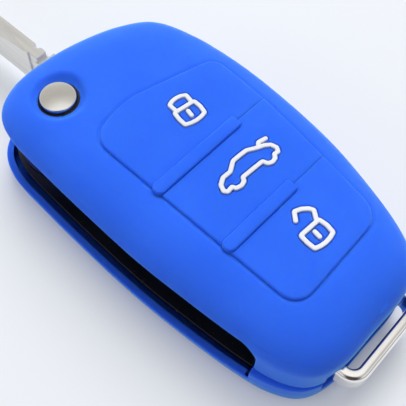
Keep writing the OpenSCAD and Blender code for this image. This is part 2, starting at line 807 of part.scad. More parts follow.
// Unbroken coil between the spigot and the button
module release_spring() color(steel) {
    sides = 6;
    n = spring_turns * spring_rings;
    points = [for (i = [0 : n], s = [0 : sides - 1])
        let (b = 360 * s / sides, middle = spring_at(i), share = 1 + wire_t / 2 * cos(b) / spring_r)
        [middle.x * share, middle.y * share, middle.z + wire_t / 2 * sin(b)]];
    translate([pivot_x, pivot_y, 0]) polyhedron(points = points, faces = concat(
        [[for (s = [0 : sides - 1]) s]],
        [[for (s = [sides - 1 : -1 : 0]) n * sides + s]],
        [for (i = [0 : n - 1], s = [0 : sides - 1])
            [i * sides + s, (i + 1) * sides + s, (i + 1) * sides + (s + 1) % sides]],
        [for (i = [0 : n - 1], s = [0 : sides - 1])
            [i * sides + s, (i + 1) * sides + (s + 1) % sides, i * sides + (s + 1) % sides]]));
}

// One of the key's own buttons, with its flange and the foot that meets the switch
module key_button(i) color(case_black) {
    translate([each button_at(i), 0]) {
        translate([0, 0, button_base_h])
            rounded_block(button_w, button_l, pad_base_h - button_base_h, button_corner_r);
        translate([0, 0, button_base_h])
            rounded_block(button_w + 2 * flange_side, button_l + 2 * flange_side, button_flange_t,
                          button_corner_r);
        translate([0, 0, plunger_top_h]) cylinder(r = foot_r, h = pad_base_h - plunger_top_h);
    }
}
module lock_button() key_button(0);
module trunk_button() key_button(1);
module unlock_button() key_button(2);

module plunger(i) color(brass) {
    translate([each button_at(i), switch_top_h - plunger_in])
        cylinder(r = plunger_r, h = plunger_in + plunger_out);
}
module lock_plunger() plunger(0);
module trunk_plunger() plunger(1);
module unlock_plunger() plunger(2);

module push_switch(i) color([0.6, 0.6, 0.62]) {
    translate([each button_at(i), board_top_h]) difference() {
        rounded_block(switch_w, switch_w, switch_h, switch_corner_r);
        translate([0, 0, switch_h - plunger_in - press_travel - run_gap])
            cylinder(r = plunger_r + plunger_gap, h = switch_h);
    }
}
module lock_switch() push_switch(0);
module trunk_switch() push_switch(1);
module unlock_switch() push_switch(2);

// Plan of the room beside the channel, drawn in by a gap, behind the head
module module_plan(gap) {
    intersection() {
        polygon(drawn_in(upper_plan, room_inset + room_gap + gap));
        translate([room_x0 + gap, board_back_y + gap])
            square([cover_w, room_y1 - board_back_y - 2 * gap]);
    }
}

module circuit_board() color(board_green) {
    translate([0, 0, board_h]) linear_extrude(board_t) module_plan(0);
}

module module_tray() color([0.2, 0.2, 0.22]) {
    translate([0, 0, tray_plate_h]) linear_extrude(tray_plate_t) module_plan(0);
    translate([0, 0, tray_plate_h]) linear_extrude(board_h - tray_plate_h) difference() {
        module_plan(0);
        module_plan(tray_wall);
    }
    ring_h = tray_plate_h - case_floor_h;
    translate([each battery_pos, case_floor_h]) difference() {
        cylinder(r = battery_r + battery_gap + battery_wall, h = ring_h + tray_plate_t / 2);
        translate([0, 0, -over]) cylinder(r = battery_r + battery_gap, h = ring_h + over);
    }
}

module battery() color(chrome) {
    lid_inset = 1.2;
    lid_t = 0.4;
    translate([each battery_pos, battery_base_h]) {
        cylinder(r = battery_r - lid_inset, h = battery_t);
        translate([0, 0, lid_t]) cylinder(r = battery_r, h = battery_t - lid_t);
    }
}

// Flat spring strip with a round boss that presses on the cell
module contact_strip(up) {
    boss_r = 1.5;
    translate([-contact_l / 2, -contact_w / 2, up ? 0 : contact_rise])
        cube([contact_l, contact_w, contact_t]);
    translate([0, 0, up ? contact_t / 2 : 0]) cylinder(r = boss_r, h = contact_rise + contact_t / 2);
}
module battery_base_contact() color(brass) {
    translate([each battery_pos, case_floor_h]) contact_strip(true);
}
module battery_top_contact() color(brass) {
    translate([each battery_pos, battery_top_h]) rotate(90) contact_strip(false);
}

module radio_chip() color(case_black) {
    translate([each chip_pos, board_top_h]) translate([-chip_w / 2, -chip_w / 2, 0])
        cube([chip_w, chip_w, chip_t]);
}

module crystal() color(chrome) {
    translate([each crystal_pos, board_top_h])
        rounded_block(crystal_size.x, crystal_size.y, crystal_size.z, crystal_size.z / 2);
}

module small_components() color(brass) {
    for (k = [0 : small_count - 1])
        translate([small_start.x + k * small_pitch, small_start.y, board_top_h])
            cube(small_size);
}

module transponder() color([0.12, 0.12, 0.13]) {
    translate([each transponder_pos, case_floor_h])
        rounded_block(transponder_size.x, transponder_size.y, transponder_size.z, transponder_size.x / 3);
}

cover_body();
lock_pad();
trunk_pad();
unlock_pad();
lock_symbol();
trunk_symbol();
unlock_symbol();
upper_case();
lower_case();
key_loop();
case_screw();
blade_head();
blade();
blade_pin();
release_button();
release_spring();
lock_button();
trunk_button();
unlock_button();
lock_plunger();
trunk_plunger();
unlock_plunger();
lock_switch();
trunk_switch();
unlock_switch();
circuit_board();
module_tray();
battery();
battery_top_contact();
battery_base_contact();
radio_chip();
crystal();
small_components();
transponder();
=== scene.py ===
import bisect
import json
import math

import bmesh
import bpy
from mathutils import Matrix, Vector, geometry, kdtree

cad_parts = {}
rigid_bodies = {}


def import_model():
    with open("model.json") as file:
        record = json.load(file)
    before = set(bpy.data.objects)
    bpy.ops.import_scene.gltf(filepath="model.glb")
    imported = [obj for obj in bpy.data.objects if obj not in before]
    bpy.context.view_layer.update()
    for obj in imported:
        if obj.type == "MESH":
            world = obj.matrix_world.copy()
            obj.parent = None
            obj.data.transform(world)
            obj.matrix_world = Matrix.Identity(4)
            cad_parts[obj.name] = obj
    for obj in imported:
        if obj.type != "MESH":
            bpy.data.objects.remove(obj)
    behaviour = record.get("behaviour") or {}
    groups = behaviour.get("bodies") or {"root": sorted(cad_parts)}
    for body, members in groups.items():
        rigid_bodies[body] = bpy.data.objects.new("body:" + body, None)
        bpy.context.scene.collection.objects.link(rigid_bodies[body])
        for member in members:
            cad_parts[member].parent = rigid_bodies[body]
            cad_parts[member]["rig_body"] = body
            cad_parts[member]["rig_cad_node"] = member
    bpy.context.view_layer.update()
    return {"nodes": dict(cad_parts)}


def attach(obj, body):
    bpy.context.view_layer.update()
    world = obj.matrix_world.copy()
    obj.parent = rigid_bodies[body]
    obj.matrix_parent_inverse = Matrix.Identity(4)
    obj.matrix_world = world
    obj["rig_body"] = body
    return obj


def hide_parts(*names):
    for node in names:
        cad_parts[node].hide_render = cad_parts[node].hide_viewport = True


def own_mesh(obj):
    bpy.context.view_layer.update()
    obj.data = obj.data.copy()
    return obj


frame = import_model()

# The table top: a sheet of smooth pale paper with a faint blue cast, laid flat under the key.
# The eye and bright metal see it with a painted glow, a little lighter than it is lit, and close to the
# key that glow fades out as a painted contact shadow.
paper_glow_share, painted_shade_reach = 0.45, 0.009
bpy.ops.object.select_all(action="DESELECT")
bpy.ops.mesh.primitive_plane_add(size=3, location=(0, 0, -0.00003))
paper = bpy.context.active_object
paper.name = paper.data.name = "paper"
paper_finish = bpy.data.materials.new("paper")
paper_finish.use_nodes = True
paper_nodes, paper_links = paper_finish.node_tree.nodes, paper_finish.node_tree.links
paper_shader = paper_nodes["Principled BSDF"]


def ramp_stops(ramp, *stops):
    for i, (position, tone) in enumerate(stops):
        stop = ramp.color_ramp.elements[i] if i < 2 else ramp.color_ramp.elements.new(position)
        stop.position, stop.color = position, (*tone, 1)


def working_node(nodes, kind, operation):
    node = nodes.new(kind)
    node.operation = operation
    return node


paper_place = paper_nodes.new("ShaderNodeTexCoord")
paper_cloud = paper_nodes.new("ShaderNodeTexNoise")
paper_cloud.inputs["Scale"].default_value = 9
paper_tone = paper_nodes.new("ShaderNodeValToRGB")
ramp_stops(paper_tone, (0, (0.70, 0.72, 0.755)), (1, (0.72, 0.74, 0.775)))
paper_shader.inputs["Roughness"].default_value = 0.75
paper_shader.inputs["Specular IOR Level"].default_value = 0.1
paper_glow = paper_nodes.new("ShaderNodeEmission")
paper_glow.inputs["Color"].default_value = (0.915, 0.942, 0.985, 1)
paper_ray = paper_nodes.new("ShaderNodeLightPath")
paper_seen = working_node(paper_nodes, "ShaderNodeMath", "MAXIMUM")
paper_lift = working_node(paper_nodes, "ShaderNodeMath", "MULTIPLY")
paper_lift.inputs[1].default_value = paper_glow_share
# Painted contact shadow: ambient occlusion within a short reach of the key takes the glow away there.
paper_painted_contact_shade = paper_nodes.new("ShaderNodeAmbientOcclusion")
paper_painted_contact_shade.samples = 8
paper_painted_contact_shade.inputs["Distance"].default_value = painted_shade_reach
paper_glow_less_painted_shade = working_node(paper_nodes, "ShaderNodeMath", "MULTIPLY")
paper_mix = paper_nodes.new("ShaderNodeMixShader")
for given, taken in (
        (paper_place.outputs["Object"], paper_cloud.inputs["Vector"]),
        (paper_cloud.outputs["Fac"], paper_tone.inputs["Fac"]),
        (paper_tone.outputs["Color"], paper_shader.inputs["Base Color"]),
        (paper_ray.outputs["Is Camera Ray"], paper_seen.inputs[0]),
        (paper_ray.outputs["Is Glossy Ray"], paper_seen.inputs[1]),
        (paper_seen.outputs[0], paper_lift.inputs[0]),
        (paper_lift.outputs[0], paper_glow_less_painted_shade.inputs[0]),
        (paper_painted_contact_shade.outputs["AO"], paper_glow_less_painted_shade.inputs[1]),
        (paper_glow_less_painted_shade.outputs[0], paper_mix.inputs["Fac"]),
        (paper_shader.outputs["BSDF"], paper_mix.inputs[1]),
        (paper_glow.outputs["Emission"], paper_mix.inputs[2]),
        (paper_mix.outputs["Shader"], paper_nodes["Material Output"].inputs["Surface"])):
    paper_links.new(given, taken)
paper.data.materials.append(paper_finish)
bpy.context.scene.view_settings.view_transform = "Standard"

# The room: even pale light from all round. Bright metal mirrors its grey walls, its white lit
# ceiling and its dark near side, and the eye sees plain white past the paper.
dark_side = (-0.60, -0.60, 0.53)
room = bpy.data.worlds.new("room")
bpy.context.scene.world = room
room.use_nodes = True
room_nodes, room_links = room.node_tree.nodes, room.node_tree.links
room_light = room_nodes["Background"]
room_light.inputs["Color"].default_value = (0.87, 0.925, 1.0, 1)
room_light.inputs["Strength"].default_value = 0.41
room_gloss = room_nodes.new("ShaderNodeBackground")
room_white = room_nodes.new("ShaderNodeBackground")
room_white.inputs["Color"].default_value = (1, 1, 1, 1)
room_way = room_nodes.new("ShaderNodeTexCoord")
room_height = room_nodes.new("ShaderNodeSeparateXYZ")
room_tone = room_nodes.new("ShaderNodeValToRGB")
ramp_stops(room_tone, (0.04, (0.11, 0.09, 0.08)), (0.40, (0.93, 0.94, 0.96)), (0.58, (0.60, 0.59, 0.57)),
           (0.78, (0.52, 0.51, 0.49)), (0.88, (0.68, 0.67, 0.65)), (0.94, (1, 1, 1)))
room_side = working_node(room_nodes, "ShaderNodeVectorMath", "DOT_PRODUCT")
room_side.inputs[1].default_value = dark_side
room_dark = room_nodes.new("ShaderNodeValToRGB")
ramp_stops(room_dark, (0.80, (1, 1, 1)), (0.93, (0.10, 0.08, 0.08)))
room_both = working_node(room_nodes, "ShaderNodeVectorMath", "MULTIPLY")
room_ray = room_nodes.new("ShaderNodeLightPath")
room_mirrored = working_node(room_nodes, "ShaderNodeMath", "MAXIMUM")
gloss_mix, camera_mix = room_nodes.new("ShaderNodeMixShader"), room_nodes.new("ShaderNodeMixShader")
for given, taken in (
        (room_way.outputs["Generated"], room_height.inputs[0]),
        (room_height.outputs["Z"], room_tone.inputs["Fac"]),
        (room_way.outputs["Generated"], room_side.inputs[0]),
        (room_side.outputs["Value"], room_dark.inputs["Fac"]),
        (room_tone.outputs["Color"], room_both.inputs[0]),
        (room_dark.outputs["Color"], room_both.inputs[1]),
        (room_both.outputs["Vector"], room_gloss.inputs["Color"]),
        (room_ray.outputs["Is Glossy Ray"], room_mirrored.inputs[0]),
        (room_ray.outputs["Is Transmission Ray"], room_mirrored.inputs[1]),
        (room_mirrored.outputs[0], gloss_mix.inputs["Fac"]),
        (room_light.outputs["Background"], gloss_mix.inputs[1]),
        (room_gloss.outputs["Background"], gloss_mix.inputs[2]),
        (room_ray.outputs["Is Camera Ray"], camera_mix.inputs["Fac"]),
        (gloss_mix.outputs["Shader"], camera_mix.inputs[1]),
        (room_white.outputs["Background"], camera_mix.inputs[2]),
        (camera_mix.outputs["Shader"], room_nodes["World Output"].inputs["Surface"])):
    room_links.new(given, taken)

# Two soft panels: a large one over the key's far right side and a weak one low on its left.
# The metal shows the room and not the panels themselves.
for lamp_name, lamp_from, lamp_size, lamp_power in (
        ("panel_lamp", (0.495, 0.30, 0.72), 0.69, 9.7),
        ("side_lamp", (-0.42, 0.26, 0.20), 0.30, 0.62)):
    bpy.ops.object.light_add(type="AREA", location=lamp_from)
    lamp = bpy.context.active_object
    lamp.name = lamp.data.name = lamp_name
    lamp.data.size = lamp_size
    lamp.data.energy = lamp_power
    lamp.data.color = (1.0, 0.99, 0.97)
    lamp.visible_glossy = False
    lamp.rotation_euler = (-Vector(lamp_from)).to_track_quat("-Z", "Y").to_euler()

# The camera looks down on the front left corner from about a hand's width away, turned so that the
# key lies across the picture and the blade leaves it at the upper left.
bpy.ops.object.camera_add(location=(-0.050949, -0.042417, 0.122105),
                          rotation=[math.radians(a) for a in (28.785, -0.963, -47.947)])
camera = bpy.context.active_object
camera.name = camera.data.name = "camera"
camera.data.sensor_width = 36
camera.data.lens = 66.502
camera.data.clip_start = 0.002
camera.data.clip_end = 10
bpy.context.scene.camera = camera

# The cover: one soft sleeve of matt blue silicone, moulded in one go with a slot for the blade, a
# parting step round its middle, a dish round the release button and two ribs across the button
# panel. It is stretched over the key's case through the slot and grips it by its own pull.
half_w, half_l, flat_h, shoulder_h, crown_reach = 20.6, 37.7, 18.0, 12.5, 9.0
seam_step, ledge_reach, foot_reach, foot_w, foot_h = 0.2, 1.9, 1.52, 2.2, 2.0
slot_floor, slot_roof, slot_back, slot_corner, slot_small_corner = 4.11, 13.59, -26.9, 3.0, 0.5
loop_window_x, loop_window_half, loop_window_z, loop_window_corner = -1.957, 11.2, (3.9, 9.4), 0.6
release_at, hole_r, dish_r, dish_depth, dish_blend = Vector((-8.5, 27.1)), 3.65, 6.0, 1.15, 0.6
lip_r, lip_depth, window_reach, window_sink, window_depth = 0.38, 1.3, 1.0, 0.2, 0.8
plan_shares = (
    (-0.175, 0.990), (-0.544, 0.984), (-0.803, 0.907), (-0.922, 0.759), (-0.961, 0.531),
    (-0.990, 0.225), (-1.005, -0.080), (-0.985, -0.358), (-0.951, -0.623), (-0.903, -0.809),
    (-0.772, -0.936), (-0.529, -0.992), (-0.146, -1.000), (0.243, -1.000), (0.447, -0.950),
    (0.612, -0.822), (0.762, -0.605), (0.898, -0.332), (0.981, -0.013), (1.010, 0.292),
    (0.966, 0.570), (0.845, 0.769), (0.583, 0.879), (0.218, 0.952))
ledge_shares = (0, 0.1, 0.6, 0.95, 1, 1, 0.93, 0.93, 0.8, 0.55, 0.42, 0.25) + (0,) * 12
knots, knot_steps = len(plan_shares), 40
panel_corners = ((-10.55, 16.29, 4.3), (-1.5, 17.79, 14), (16.07, 12.52, 2.3), (15.1, 0.19, 33),
                 (10.3, -27.41, 4.9), (-11.0, -27.6, 3.3))
button_at = (Vector((3.893, 8.483)), Vector((2.802, -6.183)), Vector((0.700, -21.112)))
rib_ends, rib_w, rib_rise = ((-11.227, 8.24), (-11.227, 4.944)), 2.4, 0.85
rib_corners, rib_turn = (1.15, 0.55), math.radians(-1.5)


def plan_point(knot, w=half_w, reach=0.0):
    i, t = int(knot), knot - int(knot)
    near = [(i + k) % knots for k in (-1, 0, 1, 2)]
    a, b, c, d = (Vector((plan_shares[n][0] * w - ledge_shares[n] * reach, plan_shares[n][1] * half_l))
                  for n in near)
    return (2 * b + (c - a) * t + (2 * a - 5 * b + 4 * c - d) * t * t
            + (3 * b - a - 3 * c + d) * t ** 3) / 2


def outward(knot):
    along = plan_point(knot + 0.01) - plan_point(knot - 0.01 + knots)
    return Vector((along.y, -along.x)).normalized()


# Lengths along the outline, counted from its right side, so that columns stand evenly round it.
start_knot, columns = 18, 400
walk = [0.0]
for k in range(1, knots * knot_steps + 1):
    low, high = (plan_point(start_knot + m / knot_steps) for m in (k - 1, k))
    walk.append(walk[-1] + (high - low).length)


def knot_at(length):
    k = min(max(bisect.bisect_left(walk, length), 1), len(walk) - 1)
    return start_knot + (k - 1 + (length - walk[k - 1]) / (walk[k] - walk[k - 1])) / knot_steps


def length_where(test, low, high):
    near = min((abs(test(plan_point(start_knot + k / knot_steps))), walk[k]) for k in range(len(walk))
               if low <= start_knot + k / knot_steps - knots <= high)
    return near[1]


# Field of heights over a plan: its level lines become the edges of the mesh. They keep clear of the
# grid's own points by a share of its step.
grid_clear = 0.04


def level_lines(field, levels, box, step):
    nx, ny = int((box[2] - box[0]) / step) + 2, int((box[3] - box[1]) / step) + 2
    xs, ys = [box[0] + i * step for i in range(nx)], [box[1] + j * step for j in range(ny)]
    value = [[field(x, y) for y in ys] for x in xs]
    lines = []
    for level in levels:
        for i in range(nx - 1):
            for j in range(ny - 1):
                ring = ((i, j), (i + 1, j), (i + 1, j + 1), (i, j + 1))
                cut = []
                for (a, b), (c, d) in zip(ring, ring[1:] + ring[:1]):
                    if (c, d) < (a, b):
                        a, b, c, d = c, d, a, b
                    v, w = value[a][b] - level, value[c][d] - level
                    if (v < 0) != (w < 0):
                        f = min(max(v / (v - w), grid_clear), 1 - grid_clear)
                        cut.append((xs[a] + (xs[c] - xs[a]) * f, ys[b] + (ys[d] - ys[b]) * f))
                if len(cut) == 2:
                    lines.append(cut)
    return lines


def triangles(lines, loose, keep):
    place, points, edges = {}, [], []

    def at(p):
        key = (round(p[0], 6), round(p[1], 6))
        if key not in place:
            place[key] = len(points)
            points.append(Vector(key))
        return place[key]

    for a, b in lines:
        a, b = at(a), at(b)
        if a != b:
            edges.append((a, b))
    for p in loose:
        at(p)
    flat, _, faces, _, _, _ = geometry.delaunay_2d_cdt(points, edges, [], 0, 1e-7)
    kept = []
    for face in faces:
        middle = sum((flat[i] for i in face), Vector((0, 0))) / 3
        if len(face) == 3 and keep(middle.x, middle.y):
            kept.append(tuple(face))
    return flat, kept


def rounding(e, r):
    return r - math.sqrt(r * r - (r - e) ** 2) if e < r else 0.0


# A valley that leaves the surface and reaches its floor without an edge.
def valley(e, reach, depth):
    return depth * (1 + math.cos(math.pi * e / reach)) / 2 if e < reach else 0.0


# A distance taken as that of the level line it lies on, so that a rim comes out even. A point nearer
# to a rim than on_rim stands on it, and a wall goes down from there.
on_line, on_rim, on_panel_line = 0.026, 0.015, 0.02


def levelled(e, levels):
    near = min(levels, key=lambda level: abs(level - e))
    return near if abs(near - e) < on_line else e


def blunt_min(a, b, k):
    h = min(max(0.5 + 0.5 * (b - a) / k, 0), 1)
    return b + (a - b) * h - k * h * (1 - h)


# Distance to a block with rounded corners, less than nothing inside it.
def off_block(x, y, half_x, half_y, r):
    dx, dy = abs(x) - half_x + r, abs(y) - half_y + r
    return math.hypot(max(dx, 0), max(dy, 0)) + min(max(dx, dy), 0) - r


def sides(line, closed=True):
    return list(zip(line, line[1:] + line[:1] if closed else line[1:]))


def corner_arc(before, at, after, r, steps=10):
    u, v = (before - at).normalized(), (after - at).normalized()
    half = math.acos(max(-1, min(1, u.dot(v)))) / 2
    middle = at + (u + v).normalized() * r / math.sin(half)
    p, q = at + u * r / math.tan(half) - middle, at + v * r / math.tan(half) - middle
    start = math.atan2(p.y, p.x)
    turn = (math.atan2(q.y, q.x) - start + 3 * math.pi) % (2 * math.pi) - math.pi
    return [middle + r * Vector((math.cos(start + turn * k / steps), math.sin(start + turn * k / steps)))
            for k in range(steps + 1)]


panel_line = []
for k, (_, _, corner_r) in enumerate(panel_corners):
    near = (Vector(panel_corners[(k + m) % len(panel_corners)][:2]) for m in (-1, 0, 1))
    panel_line += corner_arc(*near, corner_r)


# Distance inside a closed line, less than nothing outside it.
def inside_by(line, x, y):
    near, inside = 1e9, False
    for a, b in zip(line, line[1:] + line[:1]):
        dx, dy = b.x - a.x, b.y - a.y
        t = ((x - a.x) * dx + (y - a.y) * dy) / max(dx * dx + dy * dy, 1e-12)
        t = 0 if t < 0 else 1 if t > 1 else t
        near = min(near, (x - a.x - t * dx) ** 2 + (y - a.y - t * dy) ** 2)
        if (a.y > y) != (b.y > y) and x < a.x + dx * (y - a.y) / dy:
            inside = not inside
    return math.sqrt(near) if inside else -math.sqrt(near)


def in_rib(k, x, y):
    low, high = rib_ends[k]
    mid = Vector(((low + high) / 2, (button_at[k].y + button_at[k + 1].y) / 2))
    along = (x - mid.x) * math.cos(rib_turn) + (y - mid.y) * math.sin(rib_turn)
    across = (y - mid.y) * math.cos(rib_turn) - (x - mid.x) * math.sin(rib_turn)
    return -off_block(along, across, (high - low) / 2, rib_w / 2, rib_corners[along >= 0]), across


polar = sorted((math.atan2(p.y, p.x), p.length)
               for p in (plan_point(k / knot_steps) for k in range(knots * knot_steps)))
polar_angles = [a for a, _ in polar]


def inset_at(x, y):
    def beyond(s):
        qx, qy = x / (1 - s / half_w), y / (1 - s / half_l)
        k = bisect.bisect_left(polar_angles, math.atan2(qy, qx)) % len(polar)
        return math.hypot(qx, qy) - (polar[k][1] + polar[k - 1][1]) / 2
    low, high = 0.0, crown_reach
    if beyond(high) < 0:
        return crown_reach
    for _ in range(16):
        mid = (low + high) / 2
        low, high = (mid, high) if beyond(mid) < 0 else (low, mid)
    return (low + high) / 2


def dome_h(x, y):
    c = 1 - inset_at(x, y) / crown_reach
    return shoulder_h + (flat_h - shoulder_h) * math.sqrt(1 - c * c)


def spread(box, step, keep):
    points, j, y = [], 0, box[1]
    while y < box[3]:
        x = box[0] + (j % 2) * step / 2
        while x < box[2]:
            if keep(x, y):
                points.append((x, y))
            x += step
        j, y = j + 1, y + step * 0.866
    return points


# A piece from its points in millimetres and its faces. From each open edge whose points have an
# entry in walls, a wall goes down by that much.
def as_mesh(name, points, faces, walls):
    mesh = bpy.data.meshes.new(name)
    mesh.from_pydata([Vector(p) / 1000 for p in points], [], faces)
    piece = bpy.data.objects.new(name, mesh)
    bpy.context.collection.objects.link(piece)
    build = bmesh.new()
    build.from_mesh(mesh)
    build.verts.ensure_lookup_table()
    drop = build.verts.layers.float_vector.new("drop")
    for i, way in walls.items():
        build.verts[i][drop] = Vector(way) / 1000
    bmesh.ops.remove_doubles(build, verts=build.verts[:], dist=2e-6)
    rim = [e for e in build.edges if len(e.link_faces) == 1 and all(v[drop].length > 0 for v in e.verts)]
    feet = {}
    for edge in rim:
        a, b = edge.link_loops[0].vert, edge.link_loops[0].link_loop_next.vert
        for v in (a, b):
            if v not in feet:
                feet[v] = build.verts.new(v.co + v[drop])
        build.faces.new((b, a, feet[a], feet[b]))
    build.verts.layers.float_vector.remove(drop)
    build.to_mesh(mesh)
    build.free()
    bpy.ops.object.select_all(action="DESELECT")
    piece.select_set(True)
    bpy.context.view_layer.objects.active = piece
    bpy.ops.object.shade_smooth_by_angle(angle=math.radians(55))
    return piece


# The faces of a tube made of rings of n points, with one face over each end.
def tube_faces(n, rings, first=0):
    last = first + n * (rings - 1)
    faces = [(i + s, i + (s + 1) % n, i + n + (s + 1) % n, i + n + s)
             for i in range(first, last, n) for s in range(n)]
    return faces + [tuple(range(first + n - 1, first - 1, -1)), tuple(range(last, last + n))]


# The side: rows from the underside's edge to the crown, each with its height, its width, how far
# it stands out along the slot, how far it is drawn in, and a small step of its own.
rows = [(foot_h * (1 - math.cos(a)), 1, foot_reach, foot_w * (1 - math.sin(a)), 0)
        for a in (math.radians(15 * k) for k in range(7))]
rows += [(z, 1, foot_reach + (ledge_reach - foot_reach) * min((z - foot_h) / (slot_floor - foot_h), 1),
          0, 0) for z in (2.5, 3, 3.5, 4.11, 4.6, 5.1, 5.6, 6.1, 6.42)]
rows += [(z, 1, ledge_reach, 0, out) for z, out in ((6.60, -0.03), (6.73, -0.12), (6.80, -0.25))]
rows += [(6.85, 0.8, 1.3, 0, -0.34), (6.87, 0.5, 0.6, 0, -0.36), (6.90, 0, 0, 0, -0.32),
         (6.95, 0, 0, 0, -0.20), (7.02, 0, 0, 0, -0.09), (7.12, 0, 0, 0, -0.02), (7.25, 0, 0, 0, 0)]
rows += [(7.75 + 0.475 * k, 0, 0, 0, 0) for k in range(11)]
ring_angle = math.radians(25)
rows += [(shoulder_h + (flat_h - shoulder_h) * math.sin(a), 0, 0, crown_reach * (1 - math.cos(a)), 0)
         for a in (ring_angle * k / 5 for k in range(1, 6))]


def row_point(row, knot):
    z, low, reach, inset, out = rows[row]
    p = plan_point(knot, half_w - seam_step * low, reach)
    drawn_in = Vector((p.x * (1 - inset / half_w), p.y * (1 - inset / half_l), z))
    return drawn_in + (outward(knot) * out).to_3d()


climb = [0.0]
for k in range(1, len(rows)):
    climb.append(climb[-1] + max((row_point(k, 30) - row_point(k - 1, 30)).length, 0.07))


def row_at_height(z):
    k = next(k for k in range(1, len(rows)) if rows[k][0] >= z)
    low, high = rows[k - 1][0], rows[k][0]
    return climb[k - 1] + (climb[k] - climb[k - 1]) * (z - low) / (high - low)


slot_from = length_where(lambda p: p.x if p.y > 0 else 99, -2, 2)
slot_to = length_where(lambda p: p.y - slot_back, 7, 10)
slot_low, slot_high = row_at_height(slot_floor), row_at_height(slot_roof)
window_from = length_where(lambda p: p.x - loop_window_x + loop_window_half, 9.5, 12)
window_to = length_where(lambda p: p.x - loop_window_x - loop_window_half, 12.5, 15)
window_low, window_high = (row_at_height(z) for z in loop_window_z)


def off_slot(s, t):
    x, y = s - (slot_from + slot_to) / 2, t - (slot_low + slot_high) / 2
    r = slot_corner if x > 0 and y > 0 else slot_small_corner
    return off_block(x, y, (slot_to - slot_from) / 2, (slot_high - slot_low) / 2, r)


def off_loop_window(s, t):
    return off_block(s - (window_from + window_to) / 2, t - (window_low + window_high) / 2,
                     (window_to - window_from) / 2, (window_high - window_low) / 2, loop_window_corner)


lip_levels = (0, 0.03, 0.1, 0.2, lip_r)
lip_step, lip_clear = 0.31, 0.12
slot_box = (slot_from - 1, slot_low - 1, slot_to + 1, slot_high + 1)
window_box = (window_from - 1, window_low - 1, window_to + 1, window_high + 1)
lines = level_lines(off_slot, lip_levels, slot_box, lip_step)
lines += level_lines(off_loop_window, lip_levels, window_box, lip_step)
even = [walk[-1] * j / columns for j in range(columns + 1)]
loose = [(s, t) for t in climb for s in even
         if t in (climb[0], climb[-1]) or min(off_slot(s, t), off_loop_window(s, t)) > lip_r + lip_clear]
flat, faces = triangles(lines, loose, lambda s, t: min(off_slot(s, t), off_loop_window(s, t)) > 0)
skin_points, walls = [], {}
for s, t in flat:
    knot = knot_at(s)
    k = min(max(bisect.bisect_left(climb, t), 1), len(climb) - 1)
    p = row_point(k - 1, knot).lerp(row_point(k, knot), (t - climb[k - 1]) / (climb[k] - climb[k - 1]))
    off = min(off_slot(s, t), off_loop_window(s, t))
    inward = -outward(knot).to_3d()
    if off < on_rim:
        walls[len(skin_points)] = inward * (lip_depth - lip_r)
    skin_points.append(p + inward * rounding(max(levelled(off, lip_levels), 0), lip_r))
skin_faces = list(faces)
foot_ring = [row_point(0, knot_at(s)) for s in even[:-1]]
skin_faces.append(tuple(range(len(skin_points) + columns - 1, len(skin_points) - 1, -1)))
skin_points += foot_ring

# The top: the crown and the flat, with the panel's window, the dish and the hole.
hole_edge = 0.2
window_levels = (0, 0.15, 0.35, 0.6, 0.8, window_reach)
panel_box, top_box, top_step = (-12, -28.6, 17.2, 18.8), (-20, -37, 20.2, 37), 0.58
dish_clear, window_clear, rim_clear = 0.45, 0.2, 0.3
lines = level_lines(lambda x, y: -inside_by(panel_line, x, y), window_levels, panel_box, 0.4)
rim_ring = [row_point(len(rows) - 1, knot_at(s)) for s in even[:-1]]
lines += [((a.x, a.y), (b.x, b.y)) for a, b in sides(rim_ring)]
hole_rings = (0, 0.02, 0.06, 0.12, hole_edge, 0.4, 0.7, 1.0, 1.3, 1.6, 1.9, 2.2, 2.5, 2.8)
hole_facets = 120
for r in hole_rings:
    circle = [(release_at.x + (hole_r + r) * math.cos(a), release_at.y + (hole_r + r) * math.sin(a))
              for a in (2 * math.pi * k / hole_facets for k in range(hole_facets))]
    lines += sides(circle)
ring_inset, dish_w = crown_reach * (1 - math.cos(ring_angle)), dish_r - hole_r


def off_hole(x, y):
    return math.hypot(x - release_at.x, y - release_at.y) - hole_r


def on_top(x, y):
    return (off_hole(x, y) > dish_w + dish_clear
            and inside_by(panel_line, x, y) < -window_reach - window_clear
            and inset_at(x, y) > ring_inset + rim_clear)


loose = spread(top_box, top_step, on_top)
flat, faces = triangles(
    lines, loose, lambda x, y: off_hole(x, y) > -0.001 and inside_by(panel_line, x, y) < 0)
first = len(skin_points)
for p in flat:
    hole_off, panel_off = off_hole(p.x, p.y), -inside_by(panel_line, p.x, p.y)
    z = dome_h(p.x, p.y)
    if hole_off < dish_w + dish_blend:
        s = min(max(hole_off / dish_w, 0), 1)
        dish_h = flat_h - dish_depth * (1 + math.cos(math.pi * s)) / 2 + dish_blend * s * s
        z = blunt_min(z, dish_h, dish_blend)
    if hole_off < on_rim or panel_off < on_panel_line:
        walls[len(skin_points)] = (0, 0, -window_depth)
    z -= rounding(max(hole_off, 0), hole_edge) + valley(max(panel_off, 0), window_reach, window_sink)
    skin_points.append((p.x, p.y, z))
skin_faces += [tuple(i + first for i in face) for face in faces]

